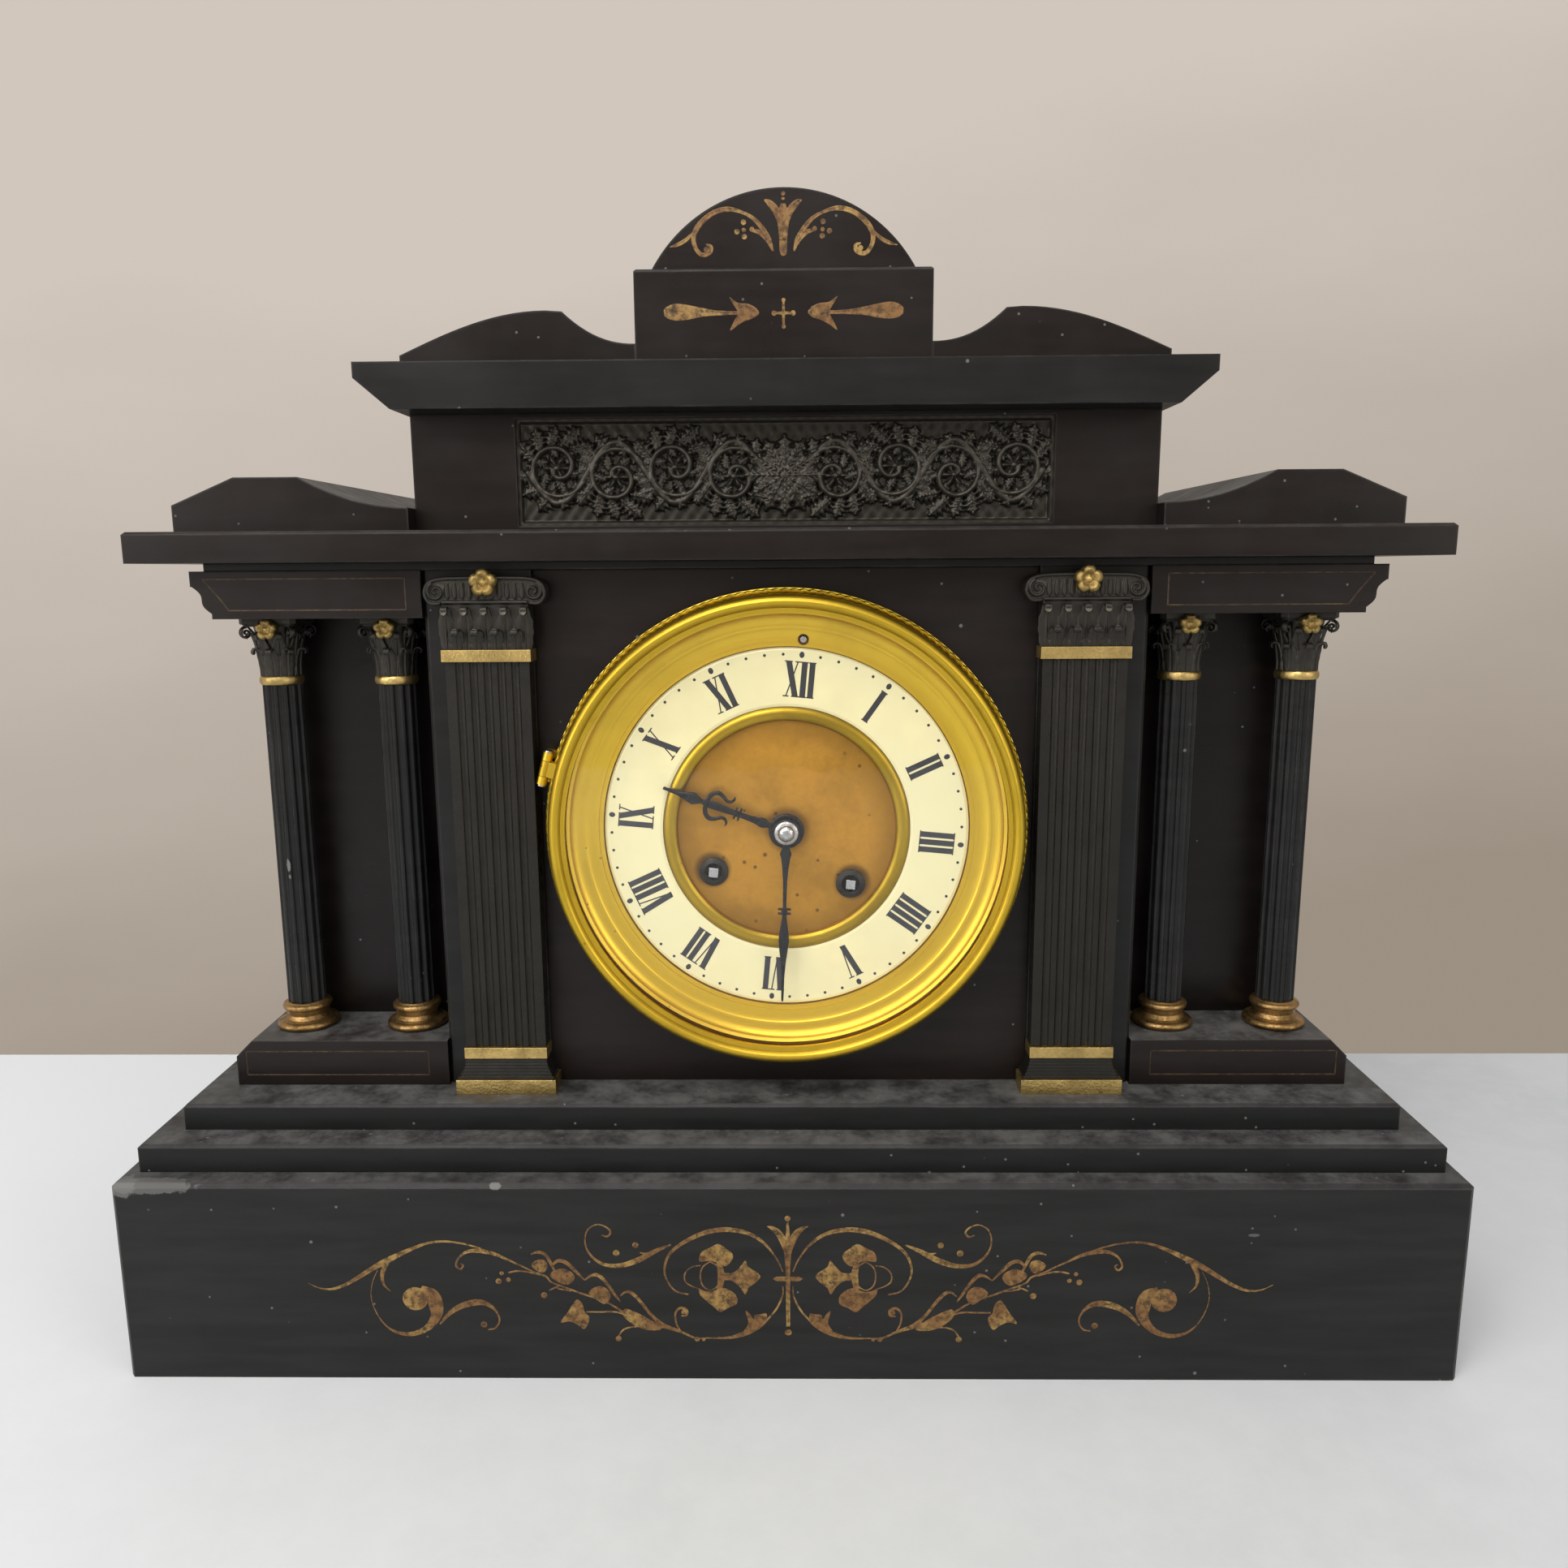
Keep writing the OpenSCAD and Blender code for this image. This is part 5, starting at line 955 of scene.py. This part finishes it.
def turned_brass(name, base, roughness, dirt):
    """Lathe-turned brass: fine rings in colour and polish, as noise of the distance from the dial's axis
    alone, with tarnish that gathers in patches."""
    f = Finish(name, Metallic=1.0)
    spread = f.product(f.radius_from(0, DIAL_Z), 3.0 / MM)
    rings = f.add("ShaderNodeTexNoise", {"W": spread, "Detail": 2.0}, noise_dimensions="1D").outputs[0]
    patches = f.between(f.cloud(38, 5, 0.6), 0.42, 0.72)
    shown = f.mix(f.between(rings, 0.25, 0.75), times(base, 0.86), times(base, 1.1))
    shown = f.mix(f.product(patches, dirt), shown, times(base, 0.55))
    smear = f.between(f.cloud(14, 4, 0.6), 0.4, 0.65, 0, 0.35)
    shown = f.mix(smear, shown, tuple(v * k for v, k in zip(base, (0.80, 0.84, 0.6))))
    shown = f.mix(f.product(f.specks(260, 0.11, 0.10), 0.6), shown, (0.10, 0.055, 0.02))
    polish = f.between(rings, 0.2, 0.8, roughness * 0.8, roughness * 1.3)
    rough = f.math("ADD", polish, f.product(patches, 0.12))
    return f.done(Base_Color=shown, Roughness=rough, Normal=f.bump(rings, 0.12, 0.0002))


def dial_plate():
    """Matt gilt copper: brown stains, small dark spots, painted shade round the arbors, and painted shade at
    the rim under the ring.
    """
    f = Finish("gilt_copper", Metallic=0.85)
    base = tone("copper_gilt")
    bright = tuple(v * k for v, k in zip(base, (1.05, 1.08, 1.2)))
    shown = f.mix(f.between(f.cloud(48, 6, 0.65), 0.44, 0.68, 0, 0.6), bright, times(base, 0.55))
    shown = f.mix(f.between(f.cloud(420, 4, 0.7), 0.35, 0.7, 0, 0.25), shown, times(base, 0.6))
    spots = f.math("MAXIMUM", f.specks(330, 0.22, 0.10), f.specks(170, 0.13, 0.16))
    shown = f.mix(f.product(spots, 0.75), shown, (0.07, 0.028, 0.008))
    # painted shade: the plate darkens towards its rim, where it lies sunk behind the brass ring
    edge = f.between(f.radius_from(0, DIAL_Z), 0.0225, 0.0322, 0, 0.6)
    shown = f.mix(edge, shown, times(base, 0.45))
    # painted shade round the winding arbors, where the collets stand out from the plate
    for x, _, z in on_dial(np.array([(-ARBOR_X, 0, ARBOR_Z), (ARBOR_X, 0, ARBOR_Z)])):
        arbor_shade = f.between(f.radius_from(x, z), 0.0062, 0.0040, 0, 0.8)
        shown = f.mix(arbor_shade, shown, (0.05, 0.024, 0.009))
    middle = f.between(f.radius_from(0, DIAL_Z), 0.0075, 0.0050, 0, 0.5)
    shown = f.mix(middle, shown, (0.09, 0.042, 0.012))
    return f.done(Base_Color=shown, Roughness=f.between(f.cloud(60, 5), 0.3, 0.7, 0.42, 0.6))


def enamel():
    """Cream enamel with faint cloudy mottling under a clear glaze."""
    f = Finish("enamel_cream", Coat_Weight=0.6, Coat_Roughness=0.06)
    mottling = f.between(f.cloud(70, 6, 0.6), 0.3, 0.7)
    shown = f.mix(mottling, tone("enamel", 0.93), tone("enamel", 1.05))
    shown = f.mix(f.between(f.cloud(16, 3, 0.5), 0.35, 0.65), shown, (0.74, 0.68, 0.40))
    return f.done(Base_Color=shown, Roughness=0.3)


def glass():
    """Clear glass with no tint. Where a ray meets it from outside, the share 0.04 + 0.9 f^5 is mirrored, with
    f the Layer Weight facing, and from inside the sheet it is see-through."""
    material = bpy.data.materials.new("glass_clear")
    material.use_nodes = True
    n = Nodes(material.node_tree)
    n.tree.nodes.clear()
    facing = n.add("ShaderNodeLayerWeight").outputs["Facing"]
    inside = n.add("ShaderNodeNewGeometry").outputs["Backfacing"]
    steep = n.math("ADD", n.product(n.math("POWER", facing, 5.0), 0.9), 0.04)
    amount = n.product(steep, n.math("SUBTRACT", 1.0, inside))
    clear = n.add("ShaderNodeBsdfTransparent").outputs[0]
    shine = n.add("ShaderNodeBsdfGlossy", {"Roughness": 0.02}).outputs[0]
    n.add("ShaderNodeOutputMaterial", {0: n.blend(amount, clear, shine)})
    return material


def fired_black():
    """Fired black of the numerals, faintly clouded under a thin glaze."""
    f = Finish("enamel_black", Coat_Weight=0.4, Coat_Roughness=0.1)
    shown = f.mix(f.cloud(500, 3), tone("black"), tone("black", 3.0))
    return f.done(Base_Color=shown, Roughness=0.35)


def patina():
    """Dark bronze, almost black in the hollows, brighter and browner on the raised carving: there it is rubbed
    bronze and a painted highlight.
    """
    f = Finish("bronze_frieze", Metallic=0.7)
    rise = f.add("ShaderNodeAttribute", attribute_name="rise").outputs["Fac"]
    shown = f.mix(f.between(rise, 0.0, 0.6), tone("bronze", 1.1), tone("bronze", 1.6))
    # rubbed bronze and painted highlight: the highest carving is lightened further in patches
    worn = f.product(f.between(rise, 0.72, 1.0), f.between(f.cloud(150, 4, 0.6), 0.4, 0.65))
    shown = f.mix(worn, shown, tone("bronze", 2.6))
    rough = f.between(f.cloud(300, 4), 0.3, 0.7, 0.34, 0.5)
    return f.done(Base_Color=shown, Roughness=rough, Normal=f.bump(f.cloud(1100, 3), 0.2, 0.0001))


def finish_nodes(finish, nodes):
    for name in nodes.split():
        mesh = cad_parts[name].data
        mesh.materials.clear()
        mesh.materials.append(finish)


# chips and scuffs: (centre, radii, strength)
PLINTH_CHIPS = (((-179, -75, 59.6), (12, 4, 2.6), 0.5), ((-188, -75, 59), (5, 5, 3), 0.55),
                ((-81.7, -75, 59.6), (1.6, 1.5, 1.2), 0.8), ((130, -75, 45), (1.6, 2, 0.5), 0.4))
COLUMN_SCUFFS = (((-149.6, -35.3, 141.8), (0.7, 3, 1.9), 0.8), ((-149.4, -35.3, 138.4), (0.4, 3, 0.7), 0.6))
# name, colour and its factor, then dust, wear, specks, roughness and chips, and the nodes
SLATES = (
    ("slate_plinth", "slate", 1.4, (0.75, 0.75, 0.5, 0.42, PLINTH_CHIPS),
     "plinth_front plinth_back plinth_ends"),
    ("slate_steps", "slate", 1.0, (0.85, 0.6, 0.7, 0.4), "lower_step upper_step case_back"),
    ("slate_bodied", "slate_warm", 1.0, (0.8, 0.35, 0.4, 0.34),
     "pedestals entablatures main_slab attic dial_panel"),
    # the wing walls' slate is darkened to 0.55 of the warm slate: painted shade of the deep recess behind the
    # columns
    ("slate_wings", "slate_warm", 0.55, (0.7, 0.3, 0.3, 0.3), "wing_walls"),
    ("slate_courses", "slate", 1.0, (0.7, 0.5, 0.3, 0.36), "piers fillet_course upper_cornice"),
    ("slate_crown", "slate_warm", 1.0, (0.9, 0.7, 1.0, 0.33),
     "lower_scrolls upper_scrolls top_block arched_crest"),
    ("slate_columns", "slate", 1.0, (0.4, 0.35, 0.3, 0.3, COLUMN_SCUFFS), "column_shafts"),
)
# name, factor on the brass, roughness, dirt and the nodes
TURNED = (
    ("brass_turned", 1.0, 0.33, 0.35, "dial_ring"),
    ("brass_inner", 0.62, 0.3, 0.7, "inner_ring"),
    ("brass_bezel", 0.74, 0.36, 0.6, "bezel"),
    ("brass_rear", 0.8, 0.34, 0.6, "rear_ring rear_door"),
)


class FinishSlate(bpy.types.Operator):
    """Gives every slate slab its polish, dust and worn arrises"""

    bl_idname = "clock.finish_slate"
    bl_label = "Slate finishes"

    def execute(self, context):
        for name, key, factor, settings, nodes in SLATES:
            finish_nodes(slate(name, tone(key, factor), *settings), nodes)
        return {"FINISHED"}


class FinishMetals(bpy.types.Operator):
    """Gives the brass, bronze, steel, enamel and glass nodes their finishes"""

    bl_idname = "clock.finish_metals"
    bl_label = "Metal, enamel and glass finishes"

    def execute(self, context):
        for name, factor, roughness, dirt, nodes in TURNED:
            finish_nodes(turned_brass(name, tone("brass", factor), roughness, dirt), nodes)
        # name, colour, then roughness, dirt, dark, bump, scale and metallic, and the nodes
        for name, base, settings, nodes in (
            ("bronze_dark", tone("bronze", 0.7), (0.42, 0.5, 0.5, 0.2, 130, 0.6),
             "pilaster_shafts pilaster_bases winding_collets"),
            ("bronze_gilt", tone("gilt"), (0.36, 0.7, 0.3, 0.3), "gilt_bands"),
            ("bronze_worn_gilt", (0.42, 0.26, 0.10), (0.4, 0.9, 0.2, 0.3, 200), "column_bases"),
            ("brass_plain", tone("brass", 0.85), (0.32, 0.4, 0.5),
             "front_plate back_plate going_barrel strike_barrel centre_arbor third_wheel escape_wheel"
             " minute_wheel hour_pipe suspension_cock pendulum_bob"),
            ("steel_bright", (0.55, 0.56, 0.58), (0.25, 0.4, 0.4),
             "hinge_pins going_arbor strike_arbor anchor regulator_arbor pendulum_rod hammer"),
            ("bell_bronze", (0.62, 0.50, 0.36), (0.3, 0.4, 0.5), "bell bell_stand"),
        ):
            finish_nodes(metal(name, base, *settings), nodes)
        finish_nodes(dial_plate(), "dial_centre")
        finish_nodes(enamel(), "chapter_ring")
        finish_nodes(glass(), "bezel_glass")
        return {"FINISHED"}


class Engrave(bpy.types.Operator):
    """Lays the gilded engraving on the plinth, crest and top block, and lines round the small panels"""

    bl_idname = "clock.engrave"
    bl_label = "Gilded engraving"

    def execute(self, context):
        gold = gilding("gilding_worn", tone("gilding"))
        faint = gilding("gilding_faint", tone("gilding", 0.22))
        for name, shapes, finish in (
            ("engraving_plinth", ornament(PLINTH_FACE, PLINTH_LINES, PLINTH_LEAVES, PLINTH_DOTS), gold),
            ("engraving_crest", ornament(CREST_FACE, CREST_LINES, (), CREST_DOTS), gold),
            ("engraving_top_block", ornament(BLOCK_FACE, BLOCK_LINES, BLOCK_LEAVES, BLOCK_DOTS), gold),
            ("lines_pedestals", panel_lines(PEDESTAL_PANEL), faint),
            ("lines_entablatures", panel_lines(ENTABLATURE_PANEL), faint),
        ):
            make_piece(name, shapes, finish, "case", smooth=False)
        return {"FINISHED"}


class MakeDial(bpy.types.Operator):
    """Makes the Roman numerals and the minute marks on the enamel"""

    bl_idname = "clock.make_dial"
    bl_label = "Numerals and minute marks"

    def execute(self, context):
        black = fired_black()
        make_piece("dial_numerals", numeral_shapes(), black, "case", smooth=False)
        make_piece("dial_minute_marks", minute_shapes(), black, "case")
        return {"FINISHED"}


class MakeHands(bpy.types.Operator):
    """Makes the two blued hands and the domed nut that holds them"""

    bl_idname = "clock.make_hands"
    bl_label = "Hands"

    def execute(self, context):
        blued = metal("steel_blued", tone("black"), 0.3, dirt=0.3, dark=0.6, bump=0.1, metallic=0.5)
        curl = on_face(HOUR_CURL, HOUR_HAND_Y + HAND_THICK / 2, HAND_THICK / 2, BLADE_SECTION)
        hour = hand_shapes(HOUR_BLADE, HOUR_HAND_Y, hub=5.1, hole=3.05, extra=(curl, mirrored(curl)))
        hour_angle = 30 * (SHOWN_HOUR + SHOWN_MINUTE / 60)
        hour = [(on_dial(points, hour_angle), faces) for points, faces in hour]
        make_piece("hand_hour", hour, blued, "hour", replaces=("hour_hand",))
        minute = hand_shapes(MINUTE_BLADE, MINUTE_HAND_Y, hub=3.9, hole=1.3)
        minute = [(on_dial(points, 6 * SHOWN_MINUTE), faces) for points, faces in minute]
        pinion = toothed(12, root=1.98, tip=2.7, hole=1.25, front=-35.8, back=-34.6)
        minute += [(on_dial(points), faces) for points, faces in (lathe(PIPE, (0, 0), 40), pinion)]
        make_piece("hand_minute", minute, blued, "minute", replaces=("minute_hand",))
        steel = metal("steel_nut", (0.52, 0.53, 0.55), 0.22, dirt=0.5, dark=0.35, bump=0.2, scale=400)
        nut = lathe(NUT, (0, DIAL_Z), 48)
        make_piece("nut_domed", [nut], steel, "minute", replaces=("hand_nut",))
        return {"FINISHED"}


class MakeCapitals(bpy.types.Operator):
    """Models the leafy capitals of the columns and pilasters, their rosettes and the bezel's corded edge"""

    bl_idname = "clock.make_capitals"
    bl_label = "Capitals, rosettes and cord"

    def execute(self, context):
        # the leaf edges and curls are lightened six-fold on the arrises: rubbed bronze and a painted highlight
        dark = metal("bronze_capitals", tone("bronze"), 0.36, dirt=0.5, dark=0.5, bump=0.25, scale=400,
                     metallic=0.6, wear=6.0)
        low, high = box_mm("column_capitals")
        one = column_capital(low[2], high[2])
        columns = [moved(one, x, COLUMNS_Y) for x in COLUMNS_X]
        make_piece("capitals_columns", columns, dark, "case", replaces=("column_capitals",))
        low, high = box_mm("pilaster_capitals")
        one = pilaster_capital(low[2], high[2], PILASTER_FRONT, high[1])
        pilasters = [moved(one, x) for x in PILASTERS_X]
        make_piece("capitals_pilasters", pilasters, dark, "case", replaces=("pilaster_capitals",))
        # pale beads on the leaf heads: rubbed bronze and a painted highlight on each curl
        heads = [(x, high[2] - 11.5) for x in TALL_LEAVES_X] + [(x, high[2] - 17.0) for x in SHORT_LEAVES_X]
        beads = [dot(x + side, z, 1.9, PILASTER_FRONT - 1.35, 0.6) for x, z in heads for side in PILASTERS_X]
        leaf_heads_rubbed_and_highlit = metal("bronze_rubbed", tone("bronze", 5.0), 0.34, dirt=0.6, dark=0.3, bump=0.2, scale=500,
                       metallic=0.7)
        make_piece("capitals_leaf_heads", beads, leaf_heads_rubbed_and_highlit, "case")
        gilt = metal("bronze_rosettes", tone("gilt", 0.85), 0.42, dirt=0.8, dark=0.3, bump=0.3, scale=500)
        flowers = [rosette(x, 212.3, -38.0, back=-34.0, radius=3.2, rise=1.5) for x in COLUMNS_X]
        flowers += [rosette(x, 225.2, -49.4, back=-46.0, radius=4.0, rise=2.0) for x in PILASTERS_X]
        make_piece("rosettes_gilt", flowers, gilt, "case", replaces=("capital_rosettes",))
        cord = metal("brass_cord", tone("brass", 0.5), 0.4, dirt=0.7, dark=0.3, bump=0.1, scale=300)
        edge = rope(68.35, -47.3, thick=0.8, strands=168)
        make_piece("bezel_cord", [edge], cord, "bezel")
        return {"FINISHED"}


class MakeFrieze(bpy.types.Operator):
    """Carves the bronze frieze: a running scroll of acanthus between plain borders"""

    bl_idname = "clock.make_frieze"
    bl_label = "Bronze frieze"

    def execute(self, context):
        low, high = box_mm("frieze_panel")
        half_length, half_height = (high[0] - low[0]) / 2, (high[2] - low[2]) / 2
        across, up = np.linspace(-half_length, half_length, 600), np.linspace(-half_height, half_height, 118)
        x, z = np.meshgrid(across, up, indexing="ij")
        border = np.minimum(half_length - np.abs(x), half_height - np.abs(z))
        rim = 0.6 * np.clip((1.3 - border) / 0.4, 0, 1)
        hollow = 0.06 * np.sin(x * 1.7) * np.sin(z * 1.3 + 0.4)
        relief = np.where(border > 1.0, rinceau(x, z, half_length, half_height), 0)
        height = np.maximum(relief, rim) + hollow * (1 - rim)
        y = high[1] - FRIEZE_THICK + sizes().relief_height * (1 - height)
        block = np.stack([x, y, z + (high[2] + low[2]) / 2], axis=-1)
        block = np.pad(block, ((0, 0), (1, 1), (0, 0)), mode="edge")
        block[:, [0, -1], 1] = high[1]
        make_piece("frieze_relief", [capped(block)], patina(), "case", replaces=("frieze_panel",),
                   attributes={"rise": np.pad(height, 1).ravel()})
        return {"FINISHED"}


class MakeStage(bpy.types.Operator):
    """Table top, soft lamps, background and the camera at the photograph's angle"""

    bl_idname = "clock.make_stage"
    bl_label = "Stage, lamps and camera"

    def execute(self, context):
        self.table()
        self.background()
        self.lamp("lamp_overhead", (-0.30, -0.95, 1.27), (0, 0, 0.16), side=1.0, power=16.0)
        self.lamp("lamp_left", (-1.2, -1.05, 0.62), (0, 0, 0.15), side=0.8, power=10.0)
        self.lamp("lamp_right", (1.25, -1.1, 0.56), (0, 0, 0.15), side=0.8, power=7.0)
        self.camera((4.28, -382.9, 228.1), pitch=10.12, yaw=-0.83, roll=-0.38, lens=27.50)
        return {"FINISHED"}

    def table(self):
        """Slab whose section in y and z is carried along x."""
        f = Finish("table_pale")
        shown = f.mix(f.between(f.cloud(6, 5, 0.6), 0.3, 0.7), (0.61, 0.62, 0.605), (0.67, 0.67, 0.66))
        shown = f.mix(f.between(f.cloud(70, 5, 0.7), 0.35, 0.7, 0, 0.5), shown, (0.70, 0.70, 0.69))
        # painted light: the top is lighter towards the left, from x = 0.05 m to x = -0.40 m
        along = f.add("ShaderNodeSeparateXYZ", {0: f.position}).outputs["X"]
        shown = f.mix(f.between(along, 0.05, -0.40), shown, (0.82, 0.82, 0.81))
        section = np.array([(-1500, -30), (-1500, -2), (-1498, 0), (159, 0), (161, -2), (161, -30)], float)
        rings = np.stack([np.insert(section, 0, x, axis=1) for x in (-1500, -750, 0, 750, 1500)])
        build("table_top", [capped(rings)], f.done(Base_Color=shown, Roughness=0.75))

    def background(self):
        """Plain low light from all round, and a warm grey where camera, metal and glass see past the clock."""
        world = bpy.data.worlds.new("room_grey")
        bpy.context.scene.world = world
        world.use_nodes = True
        n = Nodes(world.node_tree)
        n.tree.nodes.clear()
        plain = n.add("ShaderNodeBackground", {"Color": (0.95, 0.97, 1.0), "Strength": 0.45}).outputs[0]
        wall = n.add("ShaderNodeBackground", {"Color": self.wall_tone(n), "Strength": 1.0}).outputs[0]
        rays = n.add("ShaderNodeLightPath").outputs
        seen = n.math("MAXIMUM", rays["Is Camera Ray"], rays["Is Glossy Ray"])
        seen = n.math("MAXIMUM", seen, rays["Is Transmission Ray"])
        n.add("ShaderNodeOutputWorld", {0: n.blend(seen, plain, wall)})

    def wall_tone(self, n):
        """Warm grey that lightens upwards, and a little to the left, as painted light, with faint creases: for
        the direction d its share of the pale colour is about 0.55 + 1.61 d_z - 0.36 d_x."""
        place = n.add("ShaderNodeTexCoord").outputs["Generated"]
        slope = n.dot(place, (-0.36, 0.0, 1.61))
        stretched = n.add("ShaderNodeMapping", {"Vector": place, "Scale": (1.0, 1.0, 2.6)}).outputs[0]
        crease = n.add("ShaderNodeTexNoise", {"Vector": stretched, "Scale": 3.5, "Detail": 5.0}).outputs[0]
        soft = n.add("ShaderNodeMapRange", {0: crease, 1: 0.3, 2: 0.7, 3: 0.48, 4: 0.61}).outputs[0]
        share = n.add("ShaderNodeMath", {0: slope, 1: soft}, operation="ADD", use_clamp=True).outputs[0]
        return n.mix(share, (0.332, 0.280, 0.227), (0.640, 0.570, 0.505))

    def lamp(self, name, place, target, side, power):
        data = bpy.data.lights.new(name, "AREA")
        data.shape = "SQUARE"
        data.size = side
        data.energy = power
        lamp = bpy.data.objects.new(name, data)
        lamp.location = place
        lamp.rotation_euler = (Vector(place) - Vector(target)).to_track_quat("Z", "Y").to_euler()
        bpy.context.scene.collection.objects.link(lamp)

    def camera(self, place, pitch, yaw, roll, lens):
        """Camera from its place, its pitch below the horizon, its yaw and its roll, in degrees."""
        pitch, yaw, roll = (math.radians(v) for v in (pitch, yaw, roll))
        ahead = np.array([math.sin(yaw) * math.cos(pitch), math.cos(yaw) * math.cos(pitch), -math.sin(pitch)])
        level = np.array([math.cos(yaw), -math.sin(yaw), 0.0])
        above = np.cross(level, ahead)
        right = level * math.cos(roll) + above * math.sin(roll)
        up = above * math.cos(roll) - level * math.sin(roll)
        data = bpy.data.cameras.new("camera_front")
        data.sensor_fit = "HORIZONTAL"
        data.sensor_width = 36.0
        data.lens = lens
        data.clip_start = 0.01
        data.dof.use_dof = False
        camera = bpy.data.objects.new("camera_front", data)
        axes = np.stack([right, up, -ahead, np.array(place) * MM], axis=1)
        camera.matrix_world = Matrix([*axes.tolist(), (0, 0, 0, 1)])
        bpy.context.scene.collection.objects.link(camera)
        bpy.context.scene.camera = camera


class ClockPanel(bpy.types.Panel):
    """Lists the clock's settings and the steps that dress it"""

    bl_idname = "VIEW3D_PT_mantel_clock"
    bl_label = "Mantel Clock"
    bl_space_type = "VIEW_3D"
    bl_region_type = "UI"
    bl_category = "Mantel Clock"

    def draw(self, context):
        for group in (context.scene.clock_sizes, context.scene.clock_colours):
            for key in group.__annotations__:
                self.layout.prop(group, key)
        for step in STEPS:
            self.layout.operator(step.bl_idname)


STEPS = (FinishSlate, FinishMetals, Engrave, MakeDial, MakeHands, MakeCapitals, MakeFrieze, MakeStage)
CLASSES = (ClockSizes, ClockColours, *STEPS, ClockPanel)


def register():
    for item in CLASSES:
        bpy.utils.register_class(item)
    bpy.types.Scene.clock_sizes = bpy.props.PointerProperty(type=ClockSizes)
    bpy.types.Scene.clock_colours = bpy.props.PointerProperty(type=ClockColours)


def unregister():
    del bpy.types.Scene.clock_sizes
    del bpy.types.Scene.clock_colours
    for item in reversed(CLASSES):
        bpy.utils.unregister_class(item)


def main():
    register()
    bpy.context.scene.view_settings.view_transform = "Standard"
    for step in STEPS:
        area, action = step.bl_idname.split(".")
        getattr(getattr(bpy.ops, area), action)()


if __name__ == "__main__":
    main()
